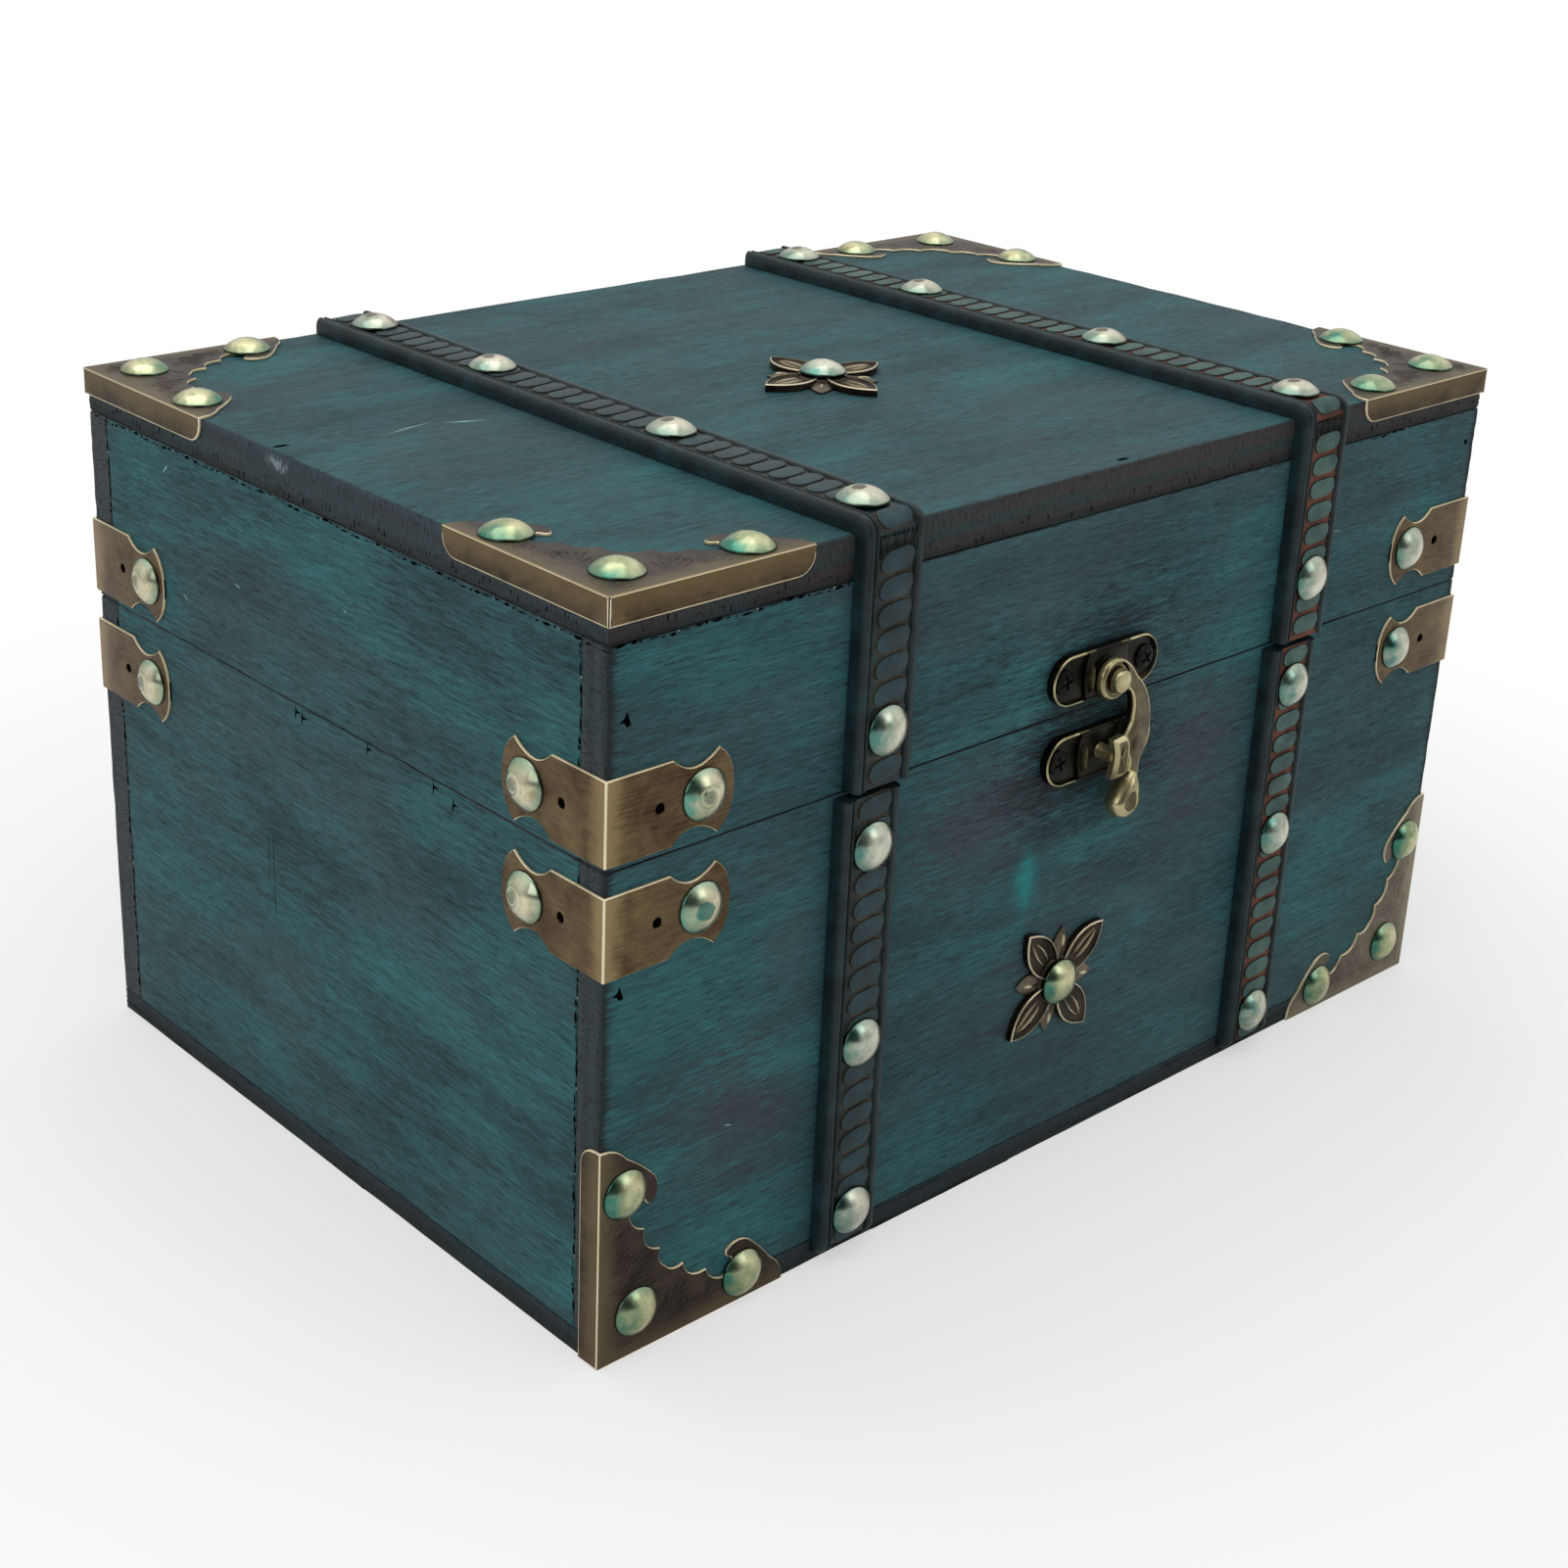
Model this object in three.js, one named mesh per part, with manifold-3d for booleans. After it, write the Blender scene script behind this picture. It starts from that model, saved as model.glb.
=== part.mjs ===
// A small wooden treasure chest: a stained plywood box with a hinged lid, dressed with
// embossed straps, sheet brass corner pieces, domed nails, two stamped flowers and a
// swing hook that catches behind a keeper on the front.
// Lengths are millimetres. X runs along the front, Y from the front to the back, Z up.
// The origin is the middle of the wooden underside.

import * as THREE from 'three';
import { mergeVertices } from 'three/addons/utils/BufferGeometryUtils.js';
import Module from 'manifold-3d';

const wasm = await Module();
wasm.setup();

// Wooden box
const boxWidth = 250;
const boxDepth = 170;
const boxHeight = 148.6;
const seamHeight = 99.6;
const seamGap = 0.4;
const wall = 7;
const bottomThickness = 5;
const topThickness = 8.4;

// Clearances, and the overrun of every cutter
const glueGap = 0.1;
const seatGap = 0.1;
const fitGap = 0.3;
const overrun = 1;

// Domed nails
const nailHeadDiameter = 10;
const nailHeadHeight = 2.7;
const nailRimHeight = 0.5;
const nailShankDiameter = 1.8;
const nailPointLength = 1.2;
const nailSink = 0.25;
const woodUnderPoint = 2;

// Embossed straps
const strapWidth = 14.5;
const strapThickness = 3.6;
const strapBracketGap = 9.75;
const baseStrapShift = -2;
const strapSeamInset = 0.4;
const lidStrapBackInset = 1;
const baseStrapFootHeight = 2;
// Nails along a strap: over the top as shares of the box's depth, on the lid's front as
// shares of the lid's height, on the base as shares of the seam's height.
const strapTopNailShares = [0.035, 0.341, 0.674, 0.924];
const strapNailShares = {
  left: { lid: 0.237, base: [0.891, 0.48, 0.108] },
  right: { lid: 0.29, base: [0.904, 0.552, 0.11] },
};

// Corner straps bent round the upright edges
const sheet = 0.5;
const cornerStrapHeight = 16;
const wingLength = 28;
const wingHoleDiameter = 2;
// Places along a wing as shares of its length, and its neck as a share of its height
const wingPlaceShares = { hole: 0.404, straight: 0.504, neck: 0.675, nail: 0.757, tip: 0.871 };
const wingNeckShare = 0.7;
// Each corner strap's distance from the seam, as a share of its free room up to the
// bracket on the lid, or down to the bracket on the base
const cornerStrapShares = {
  front_left: { lid: 0.043, base: 0.112 },
  front_right: { lid: 0.136, base: 0.099 },
  back_right: { lid: 0.071, base: 0.125 },
  back_left: { lid: 0.043, base: 0.133 },
};

// Triangular corner brackets
const bracketLeg = 45;
const bracketFlange = 5;
const bracketFlangeEndShare = 0.8;
const bracketLegNailShare = 0.769;
const bracketCornerNailShare = 0.189;
const bracketNailEdge = 0.4;
const bracketEdgeShares = [
  { via: [0.999, 0.075], to: [0.93, 0.125] },
  { via: [0.87, 0.21], to: [0.8, 0.272] },
  { via: [0.73, 0.315], to: [0.675, 0.265] },
  { via: [0.665, 0.235], to: [0.7, 0.225] },
  { via: [0.735, 0.185], to: [0.662, 0.142] },
  { via: [0.585, 0.155], to: [0.566, 0.224] },
  { via: [0.46, 0.21], to: [0.437, 0.311] },
  { via: [0.375, 0.29], to: [0.34, 0.34] },
];

// Stamped flowers
const petalReach = 16.4;
const petalWidth = 6.8;
const petalThickness = 1.6;
const leafReach = 11.8;
const leafWidth = 5.4;
const flowerSheet = 0.8;
const flowerHubDiameter = 12;
const petalCount = 4;
const baseFlowerX = -6;
const baseFlowerHeight = 40.2;
const baseFlowerTurn = THREE.MathUtils.degToRad(37);
const lidFlowerX = -4;
const lidFlowerY = -7;
const lidFlowerTurn = 0;

// Latch plates, shared by the hook plate on the lid and the catch plate on the base
const latchPlateWidth = 31.3;
const latchPlateHeight = 10.5;
const latchPlateThickness = 1;
const latchRimWidth = 0.9;
const latchRimHeight = 0.8;
const latchScrewInset = 3.75;
const hookPlateRise = 7.7;
const catchPlateDrop = 9.3;

// Swing hook on its rivet. Places of the hook are measured from the pivot.
const pivotDrop = 1.1;
const pivotBossDiameter = 8.4;
const pivotBossHeight = 1.5;
const rivetHeadDiameter = 5;
const rivetHeadHeight = 1.7;
const rivetChamferShare = 0.33;
const rivetShankDiameter = 2.8;
const rivetTailInset = 0.3;
const hookThickness = 1.8;
const hookEyeDiameter = 8.8;
const hookReachX = 11.9;
const hookReachUnderKeeper = 11.3;
const hookTipClearance = 0.5;
// The arm's outline as shares of its reach to the right and of its reach down to the knob
const hookEdgeShares = [
  { via: [0.27, 0.155], to: [0.55, -0.02] },
  { via: [0.94, -0.16], to: [1, -0.4] },
  { via: [1.02, -0.58], to: [0.86, -0.69] },
  { via: [0.83, -0.75], to: [0.86, -0.82] },
  { via: [0.9, -0.9], to: [0.88, -1] },
];
const hookInnerShares = [
  { via: [0.62, -0.84], to: [0.72, -0.77] },
  { via: [0.78, -0.68], to: [0.55, -0.63] },
];
const hookThroatShares = [
  { via: [0.7, -0.47], to: [0.69, -0.37] },
  { via: [0.68, -0.2], to: [0.34, -0.13] },
];
const hookTipTopShare = -0.545;
const hookTipLowShare = -0.6;
const knobDiameter = 7.8;
const knobDepth = 4.4;
const knobBackInset = 0.3;
const knobClearance = 0.4;
const knobFootShare = 0.8;
const knobLowShare = 0.25;
const knobHighShare = 0.65;
const knobFaceShare = 0.5;

// Keeper that stands on the catch plate
const keeperNeckDiameter = 3.2;
const keeperCollarDiameter = 6.4;
const keeperCollarHeight = 0.8;
const keeperHeadWidth = 4.6;
const keeperHeadHeight = 9;
const keeperHeadThickness = 2;
const keeperHeadClearance = 0.9;

// Screws of the latch and of the hinges
const latchScrew = { head: 5.2, rise: 0.9, shank: 2, slot: 0.7 };
const hingeScrew = { head: 4, rise: 0.6, shank: 1.8, slot: 0.6 };
const screwSlotDepthShare = 0.6;
const screwSlotLengthShare = 0.6;
const screwPointLength = 1.5;

// Butt hinges on the back
const hingeInset = 53;
const hingeWidth = 20;
const hingeLeafHeight = 12;
const hingeLeafThickness = 0.8;
const hingeBarrelDiameter = 3.8;
const hingePinDiameter = 1.6;
const hingePinHeadDiameter = 2.8;
const hingePinHeadLength = 0.9;
const hingeScrewEnd = 4;
const hingeScrewInset = 4.2;
const hingeEdgeGap = 0.4;
const hingeKnuckles = 3;

// Numbers of sides of the round shapes
const nailSides = 12;
const holeSides = 6;
const screwSides = 8;
const roundSides = 14;
const curveSteps = 3;

// Sizes worked out from the ones above
const halfWidth = boxWidth / 2;
const halfDepth = boxDepth / 2;
const lidFoot = seamHeight + seamGap / 2;
const baseTop = seamHeight - seamGap / 2;
const lidHeight = boxHeight - seamHeight;
const lidStrapOffset = halfWidth - bracketLeg - strapBracketGap - strapWidth / 2;
const hingeOffset = halfWidth - hingeInset;
const lidCornerRoom = lidHeight - bracketFlange - cornerStrapHeight;
const baseCornerRoom = seamHeight - bracketLeg - cornerStrapHeight;
const lidRailTop = boxHeight - topThickness;
const nailBite = Math.min(wall, topThickness) - woodUnderPoint;
const sheetSeat = seatGap + sheet;
const sheetStack = sheetSeat - nailSink;
const strapStack = seatGap + strapThickness - nailSink;
const flowerStack = seatGap + petalThickness + seatGap;
const plateFace = seatGap + latchPlateThickness;
const latchScrewSpacing = latchPlateWidth - 2 * latchScrewInset;
const hookPlateHeight = seamHeight + hookPlateRise;
const catchPlateHeight = seamHeight - catchPlateDrop;
const pivotHeight = hookPlateHeight - pivotDrop;
const hookReachDown = pivotHeight - catchPlateHeight + hookReachUnderKeeper;
const hookTipX = keeperNeckDiameter / 2 + hookTipClearance;
const knobX = (keeperHeadWidth + knobDiameter) / 2 + knobClearance;
const hookBack = plateFace + pivotBossHeight + fitGap;
const hookFront = hookBack + hookThickness;
const keeperHeadBack = hookFront + keeperHeadClearance;
const quarterTurn = Math.PI / 2;

// Finishes
const stainedWood = { color: 0x2f5559, roughness: 0.62, metalness: 0 };
const embossedStrap = { color: 0x33464a, roughness: 0.7, metalness: 0 };
const brushedBrass = { color: 0x8a7658, roughness: 0.4, metalness: 1 };
const agedBrass = { color: 0x5f554a, roughness: 0.5, metalness: 1 };
const paleBrass = { color: 0xa9ad90, roughness: 0.3, metalness: 1 };
const darkBronze = { color: 0x4a463a, roughness: 0.4, metalness: 1 };
const blackScrew = { color: 0x2c2b28, roughness: 0.5, metalness: 1 };

// A closed geometry becomes a solid once its corners are merged and its flat triangles dropped.
function toSolid(geometry) {
  const bare = geometry.clone();
  bare.deleteAttribute('normal');
  bare.deleteAttribute('uv');
  const merged = mergeVertices(bare);
  const corners = merged.index.array;
  const triangles = [];
  for (let i = 0; i < corners.length; i += 3) {
    const [a, b, c] = [corners[i], corners[i + 1], corners[i + 2]];
    if (a !== b && b !== c && c !== a) triangles.push(a, b, c);
  }
  return new wasm.Manifold(new wasm.Mesh({
    numProp: 3,
    vertProperties: Float32Array.from(merged.attributes.position.array),
    triVerts: Uint32Array.from(triangles),
  }));
}

function toGeometry(solid) {
  const { vertProperties, triVerts } = solid.getMesh();
  const geometry = new THREE.BufferGeometry();
  geometry.setAttribute('position', new THREE.BufferAttribute(vertProperties, 3));
  geometry.setIndex(new THREE.BufferAttribute(triVerts, 1));
  return geometry;
}

function join(geometries) {
  return toGeometry(geometries.map(toSolid).reduce((sum, next) => sum.add(next)));
}

function cut(geometry, cutters) {
  return toGeometry(toSolid(geometry).subtract(toSolid(join(cutters))));
}

function moved(geometry, place) {
  return geometry.clone().applyMatrix4(place);
}

function shift(x, y, z) {
  return new THREE.Matrix4().makeTranslation(x, y, z);
}

function turnX(angle) {
  return new THREE.Matrix4().makeRotationX(angle);
}

function turnZ(angle) {
  return new THREE.Matrix4().makeRotationZ(angle);
}

function chain(...places) {
  return places.reduce((sum, next) => sum.multiply(next), new THREE.Matrix4());
}

// Turns a drawn outline so that its x runs to the back, its y up and its depth to the right
const sideOn = new THREE.Matrix4().makeBasis(
  new THREE.Vector3(0, 1, 0),
  new THREE.Vector3(0, 0, 1),
  new THREE.Vector3(1, 0, 0),
);

// A place on a side of the box. The piece's x then runs across that side as seen from
// outside, its y runs up and its z points out of the wood.
const sides = {
  front: { turn: 0, reach: halfDepth },
  right: { turn: quarterTurn, reach: halfWidth },
  back: { turn: 2 * quarterTurn, reach: halfDepth },
  left: { turn: 3 * quarterTurn, reach: halfWidth },
};

function onSide(side, across, up, out) {
  return chain(turnZ(side.turn), shift(across, -side.reach - out, up), turnX(quarterTurn));
}

function onTop(x, y, out) {
  return shift(x, y, boxHeight + out);
}

// The four corners of the box, each reached by turning the front left one.
const corners = {
  front_left: chain(shift(-halfWidth, -halfDepth, 0)),
  front_right: chain(shift(halfWidth, -halfDepth, 0), turnZ(quarterTurn)),
  back_right: chain(shift(halfWidth, halfDepth, 0), turnZ(2 * quarterTurn)),
  back_left: chain(shift(-halfWidth, halfDepth, 0), turnZ(3 * quarterTurn)),
};

function extrude(shape, depth) {
  return new THREE.ExtrudeGeometry(shape, { depth, bevelEnabled: false, curveSegments: curveSteps });
}

// A turned solid about the z axis, from pairs of radius and height.
function turned(profile, sideCount) {
  const points = profile.map(([radius, height]) => new THREE.Vector2(radius, height));
  const geometry = new THREE.LatheGeometry(points, sideCount);
  return toGeometry(toSolid(geometry.rotateX(quarterTurn)));
}

function rod(diameter, low, high, sideCount) {
  const geometry = new THREE.CylinderGeometry(diameter / 2, diameter / 2, high - low, sideCount);
  return geometry.rotateX(quarterTurn).translate(0, 0, (low + high) / 2);
}

function block(low, high) {
  const size = high.map((value, i) => value - low[i]);
  const middle = high.map((value, i) => (value + low[i]) / 2);
  return new THREE.BoxGeometry(...size).translate(...middle);
}

// Points along bends given as shares, each from the last point, via a control point.
function bends(start, rows, scaleX, scaleY) {
  const points = [];
  let from = start;
  for (const { via, to } of rows) {
    const bend = new THREE.QuadraticBezierCurve(
      from,
      new THREE.Vector2(via[0] * scaleX, via[1] * scaleY),
      new THREE.Vector2(to[0] * scaleX, to[1] * scaleY),
    );
    points.push(...bend.getPoints(curveSteps).slice(1));
    from = points[points.length - 1];
  }
  return points;
}

function piece(name, geometry, look, place = new THREE.Matrix4()) {
  const mesh = new THREE.Mesh(geometry, new THREE.MeshStandardMaterial(look));
  mesh.name = name;
  mesh.applyMatrix4(place);
  return mesh;
}

// Domed nail: its head stands on z = 0 and its shank goes down through what it holds,
// as thick as the stack, into the wood.
function nail(stack) {
  const headRadius = nailHeadDiameter / 2;
  const shankRadius = nailShankDiameter / 2;
  const tip = -stack - nailBite;
  const cap = nailHeadHeight - nailRimHeight;
  const ballRadius = (headRadius ** 2 + cap ** 2) / (2 * cap);
  const edgeAngle = Math.asin(headRadius / ballRadius);
  const midRadius = ballRadius * Math.sin(edgeAngle / 2);
  const midHeight = nailHeadHeight - ballRadius * (1 - Math.cos(edgeAngle / 2));
  return turned([
    [0, tip],
    [shankRadius, tip + nailPointLength],
    [shankRadius, 0],
    [headRadius, 0],
    [headRadius, nailRimHeight],
    [midRadius, midHeight],
    [0, nailHeadHeight],
  ], nailSides);
}

function nailHole(stack) {
  const diameter = nailShankDiameter + 2 * fitGap;
  return rod(diameter, -stack - nailBite - fitGap, overrun, holeSides);
}

// Wood screw with a cross slot: its head stands on z = 0.
function screw(kind, length) {
  const headRadius = kind.head / 2;
  const shankRadius = kind.shank / 2;
  const body = turned([
    [0, -length],
    [shankRadius, screwPointLength - length],
    [shankRadius, 0],
    [headRadius, 0],
    [headRadius, kind.rise / 2],
    [headRadius - kind.rise / 2, kind.rise],
    [0, kind.rise],
  ], screwSides);
  const reach = headRadius * screwSlotLengthShare;
  const low = kind.rise * (1 - screwSlotDepthShare);
  const high = kind.rise + overrun;
  const half = kind.slot / 2;
  return cut(body, [
    block([-reach, -half, low], [reach, half, high]),
    block([-half, -reach, low], [half, reach, high]),
  ]);
}

function screwHole(kind, length) {
  return rod(kind.shank + 2 * fitGap, -length - fitGap, overrun, holeSides);
}

// Screws of one kind, numbered, each a piece of its own.
function screws(name, kind, length, places) {
  return places.map((place, i) => piece(`${name}_${i + 1}`, screw(kind, length), blackScrew, place));
}

// A strap or sheet with the nails that are driven through it, as one solid. The head's
// edge bites a little into what it holds.
function nailed(body, places, stack) {
  return join([body, ...places.map((place) => moved(nail(stack), place))]);
}

// Triangular bracket: a scalloped plate with a flange turned down along both outer edges.
// Its corner is the box's corner, its legs run along +x and +y and its face points to +z.
function bracketPlate() {
  const half = bends(new THREE.Vector2(bracketLeg, 0), bracketEdgeShares, bracketLeg, bracketLeg);
  const mirrored = half.slice(0, -1).reverse().map((point) => new THREE.Vector2(point.y, point.x));
  const shape = new THREE.Shape([
    new THREE.Vector2(-sheetSeat, -sheetSeat),
    new THREE.Vector2(bracketLeg, -sheetSeat),
    new THREE.Vector2(bracketLeg, 0),
    ...half,
    ...mirrored,
    new THREE.Vector2(0, bracketLeg),
    new THREE.Vector2(-sheetSeat, bracketLeg),
  ]);
  return extrude(shape, sheet).translate(0, 0, seatGap);
}

function bracketFlangeStrip() {
  const foot = seatGap - bracketFlange;
  const end = bracketFlange * bracketFlangeEndShare;
  const shape = new THREE.Shape();
  shape.moveTo(-sheetSeat, sheetSeat);
  shape.lineTo(-sheetSeat, foot);
  shape.lineTo(bracketLeg - end, foot);
  shape.quadraticCurveTo(bracketLeg, foot, bracketLeg, foot + end);
  shape.lineTo(bracketLeg, sheetSeat);
  return extrude(shape, sheet);
}

const bracketNailNear = nailHeadDiameter / 2 + bracketNailEdge;
const bracketNailFar = bracketLeg * bracketLegNailShare;
const bracketNailCorner = bracketLeg * bracketCornerNailShare;
const bracketNails = [
  shift(bracketNailCorner, bracketNailCorner, sheetStack),
  shift(bracketNailFar, bracketNailNear, sheetStack),
  shift(bracketNailNear, bracketNailFar, sheetStack),
];

function bracket() {
  const strip = bracketFlangeStrip();
  const body = join([
    bracketPlate(),
    moved(strip, chain(turnX(quarterTurn), shift(0, 0, seatGap))),
    moved(strip, chain(shift(-sheetSeat, 0, 0), sideOn)),
  ]);
  return nailed(body, bracketNails, sheetStack);
}

// Corner strap: a strip of sheet brass bent round an upright edge of the box. The edge is
// the z axis, one wing runs along +x and the other along +y.
function wingShape() {
  const half = cornerStrapHeight / 2;
  const neckHalf = half * wingNeckShare;
  const straight = wingLength * wingPlaceShares.straight;
  const neck = wingLength * wingPlaceShares.neck;
  const tip = wingLength * wingPlaceShares.tip;
  const shape = new THREE.Shape();
  shape.moveTo(-sheetSeat, -half);
  shape.lineTo(straight, -half);
  shape.quadraticCurveTo((straight + neck) / 2, -neckHalf, neck, -neckHalf);
  shape.quadraticCurveTo((neck + tip) / 2, -neckHalf, tip, -half);
  shape.quadraticCurveTo(wingLength, -neckHalf, wingLength, 0);
  shape.quadraticCurveTo(wingLength, neckHalf, tip, half);
  shape.quadraticCurveTo((neck + tip) / 2, neckHalf, neck, neckHalf);
  shape.quadraticCurveTo((straight + neck) / 2, neckHalf, straight, half);
  shape.lineTo(-sheetSeat, half);
  return shape;
}

// Each wing lies in the plane of its own x and y, with z out of the wood.
const wingPlaces = [
  turnX(quarterTurn),
  chain(turnZ(quarterTurn), turnX(-quarterTurn)),
];
const wingNail = shift(wingLength * wingPlaceShares.nail, 0, sheetStack);
const wingNails = wingPlaces.map((place) => chain(place, wingNail));

function cornerStrap() {
  const wing = extrude(wingShape(), sheet).translate(0, 0, seatGap);
  const hole = rod(wingHoleDiameter, -overrun, sheetSeat + overrun, holeSides);
  hole.translate(wingLength * wingPlaceShares.hole, 0, 0);
  const bent = join(wingPlaces.map((place) => moved(wing, place)));
  const body = cut(bent, wingPlaces.map((place) => moved(hole, place)));
  return nailed(body, wingNails, sheetStack);
}

// Straps: the side outline in the plane of y and z, made as wide as the strap.
function strapFrom(shape, nailPlaces) {
  const body = extrude(shape, strapWidth).translate(0, 0, -strapWidth / 2).applyMatrix4(sideOn);
  return nailed(body, nailPlaces, strapStack);
}

function lidStrap(nailPlaces) {
  const inner = { y: -halfDepth - seatGap, z: boxHeight + seatGap };
  const foot = lidFoot + strapSeamInset;
  const shape = new THREE.Shape();
  shape.moveTo(halfDepth - lidStrapBackInset, inner.z);
  shape.lineTo(halfDepth - lidStrapBackInset, inner.z + strapThickness);
  shape.lineTo(inner.y, inner.z + strapThickness);
  shape.absarc(inner.y, inner.z, strapThickness, quarterTurn, 2 * quarterTurn, false);
  shape.lineTo(inner.y - strapThickness, foot);
  shape.lineTo(inner.y, foot);
  shape.lineTo(inner.y, inner.z);
  return strapFrom(shape, nailPlaces);
}

function baseStrap(nailPlaces) {
  const back = -halfDepth - seatGap;
  const top = baseTop - strapSeamInset;
  const shape = new THREE.Shape();
  shape.moveTo(back, top);
  shape.lineTo(back - strapThickness, top);
  shape.lineTo(back - strapThickness, baseStrapFootHeight + strapThickness);
  shape.absarc(back, baseStrapFootHeight + strapThickness, strapThickness,
    2 * quarterTurn, 3 * quarterTurn, false);
  return strapFrom(shape, nailPlaces);
}

// Flower: four long petals over four short leaves round a hub, stamped from sheet.
function pointedOval(reach, width) {
  const shape = new THREE.Shape();
  shape.moveTo(0, 0);
  shape.quadraticCurveTo(reach / 2, -width, reach, 0);
  shape.quadraticCurveTo(reach / 2, width, 0, 0);
  return shape;
}

function flower() {
  const parts = [rod(flowerHubDiameter, seatGap, seatGap + petalThickness, roundSides)];
  const petal = extrude(pointedOval(petalReach, petalWidth), petalThickness).translate(0, 0, seatGap);
  const leaf = extrude(pointedOval(leafReach, leafWidth), flowerSheet).translate(0, 0, seatGap);
  const halfStep = Math.PI / petalCount;
  for (let i = 0; i < petalCount; i += 1) {
    parts.push(moved(petal, turnZ(2 * i * halfStep)));
    parts.push(moved(leaf, turnZ((2 * i + 1) * halfStep)));
  }
  return cut(join(parts), [moved(nailHole(flowerStack), shift(0, 0, flowerStack))]);
}

// Latch plate: a flat plate with round ends and a raised rim. Its middle is the origin
// and its back lies on the wood.
function roundEnded(width, height) {
  const radius = height / 2;
  const middle = width / 2 - radius;
  const shape = new THREE.Shape();
  shape.absarc(middle, 0, radius, -quarterTurn, quarterTurn, false);
  shape.absarc(-middle, 0, radius, quarterTurn, 3 * quarterTurn, false);
  return shape;
}

const latchScrewPlaces = [-latchScrewSpacing / 2, latchScrewSpacing / 2];
const latchScrewLength = plateFace + seatGap + nailBite;

function latchPlate(extra, holes) {
  const rimTop = latchPlateThickness + latchRimHeight;
  const outer = extrude(roundEnded(latchPlateWidth, latchPlateHeight), rimTop);
  const inside = roundEnded(latchPlateWidth - 2 * latchRimWidth, latchPlateHeight - 2 * latchRimWidth);
  const hollow = extrude(inside, rimTop).translate(0, 0, latchPlateThickness);
  const tray = cut(outer, [hollow]).translate(0, 0, seatGap);
  const screwHoles = latchScrewPlaces.map((x) => moved(
    screwHole(latchScrew, latchScrewLength),
    shift(x, 0, plateFace + seatGap),
  ));
  return cut(join([tray, ...extra]), [...screwHoles, ...holes]);
}

function throughHole(diameter) {
  return rod(diameter + 2 * fitGap, -overrun, hookFront + overrun, roundSides);
}

function hookPlate() {
  const bossTop = plateFace + pivotBossHeight;
  const boss = rod(pivotBossDiameter, seatGap, bossTop, roundSides).translate(0, -pivotDrop, 0);
  return latchPlate([boss], [throughHole(rivetShankDiameter).translate(0, -pivotDrop, 0)]);
}

function catchPlate() {
  return latchPlate([], [throughHole(keeperNeckDiameter)]);
}

// Rivet that carries the hook: the pivot is the z axis.
function pivotRivet() {
  const shankRadius = rivetShankDiameter / 2;
  const headRadius = rivetHeadDiameter / 2;
  const headFoot = hookFront + fitGap;
  const headTop = headFoot + rivetHeadHeight;
  const chamfer = rivetHeadHeight * rivetChamferShare;
  return turned([
    [0, seatGap + rivetTailInset],
    [shankRadius, seatGap + rivetTailInset],
    [shankRadius, headFoot],
    [headRadius, headFoot],
    [headRadius, headTop - chamfer],
    [headRadius - chamfer, headTop],
    [0, headTop],
  ], roundSides);
}

// Swing hook: an eye round the rivet, an arm that bows out to the right, a blunt tip that
// lies behind the keeper's head and a knob to push it with.
function swingHook() {
  const start = new THREE.Vector2(0, hookEyeDiameter / 2);
  const outer = bends(start, hookEdgeShares, hookReachX, hookReachDown);
  const inner = bends(outer[outer.length - 1], hookInnerShares, hookReachX, hookReachDown);
  const tip = [
    new THREE.Vector2(hookTipX, hookTipLowShare * hookReachDown),
    new THREE.Vector2(hookTipX, hookTipTopShare * hookReachDown),
  ];
  const throat = bends(tip[1], hookThroatShares, hookReachX, hookReachDown);
  const arm = extrude(new THREE.Shape([start, ...outer, ...inner, ...tip, ...throat]), hookThickness);
  const eye = rod(hookEyeDiameter, hookBack, hookFront, roundSides);
  const knobBack = hookBack - knobBackInset;
  const knobRadius = knobDiameter / 2;
  const knob = turned([
    [0, knobBack],
    [knobRadius * knobFootShare, knobBack],
    [knobRadius, knobBack + knobDepth * knobLowShare],
    [knobRadius, knobBack + knobDepth * knobHighShare],
    [knobRadius * knobFaceShare, knobBack + knobDepth],
    [0, knobBack + knobDepth],
  ], roundSides);
  const body = join([
    arm.translate(0, 0, hookBack),
    eye,
    knob.translate(knobX, -hookReachDown, 0),
  ]);
  return cut(body, [throughHole(rivetShankDiameter)]);
}

// Keeper: a riveted post with a collar on the plate and an upright oblong head.
function keeper() {
  const neckRadius = keeperNeckDiameter / 2;
  const collarFoot = plateFace + seatGap;
  const post = turned([
    [0, seatGap + rivetTailInset],
    [neckRadius, seatGap + rivetTailInset],
    [neckRadius, collarFoot],
    [keeperCollarDiameter / 2, collarFoot],
    [keeperCollarDiameter / 2, collarFoot + keeperCollarHeight / 2],
    [neckRadius, collarFoot + keeperCollarHeight],
    [neckRadius, keeperHeadBack + keeperHeadThickness / 2],
    [0, keeperHeadBack + keeperHeadThickness / 2],
  ], roundSides);
  const head = extrude(roundEnded(keeperHeadHeight, keeperHeadWidth), keeperHeadThickness);
  return join([post, moved(head, chain(shift(0, 0, keeperHeadBack), turnZ(quarterTurn)))]);
}

// Butt hinge. The pin is the x axis, the leaves lie on the wood behind it, y runs up.
const hingeRadius = hingeBarrelDiameter / 2;
const hingeOut = hingeRadius + seatGap;
const knuckleLength = hingeWidth / hingeKnuckles;
const hingeScrewLength = hingeLeafThickness + 2 * seatGap + nailBite;

function barrelRod(diameter, from, to) {
  return rod(diameter, from, to, roundSides).rotateY(quarterTurn);
}

// Where a knuckle of the barrel starts and ends, grown or shrunk by its side gap
function span(index, growth) {
  const start = index * knuckleLength - hingeWidth / 2;
  return [start - growth, start + knuckleLength + growth];
}

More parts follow.
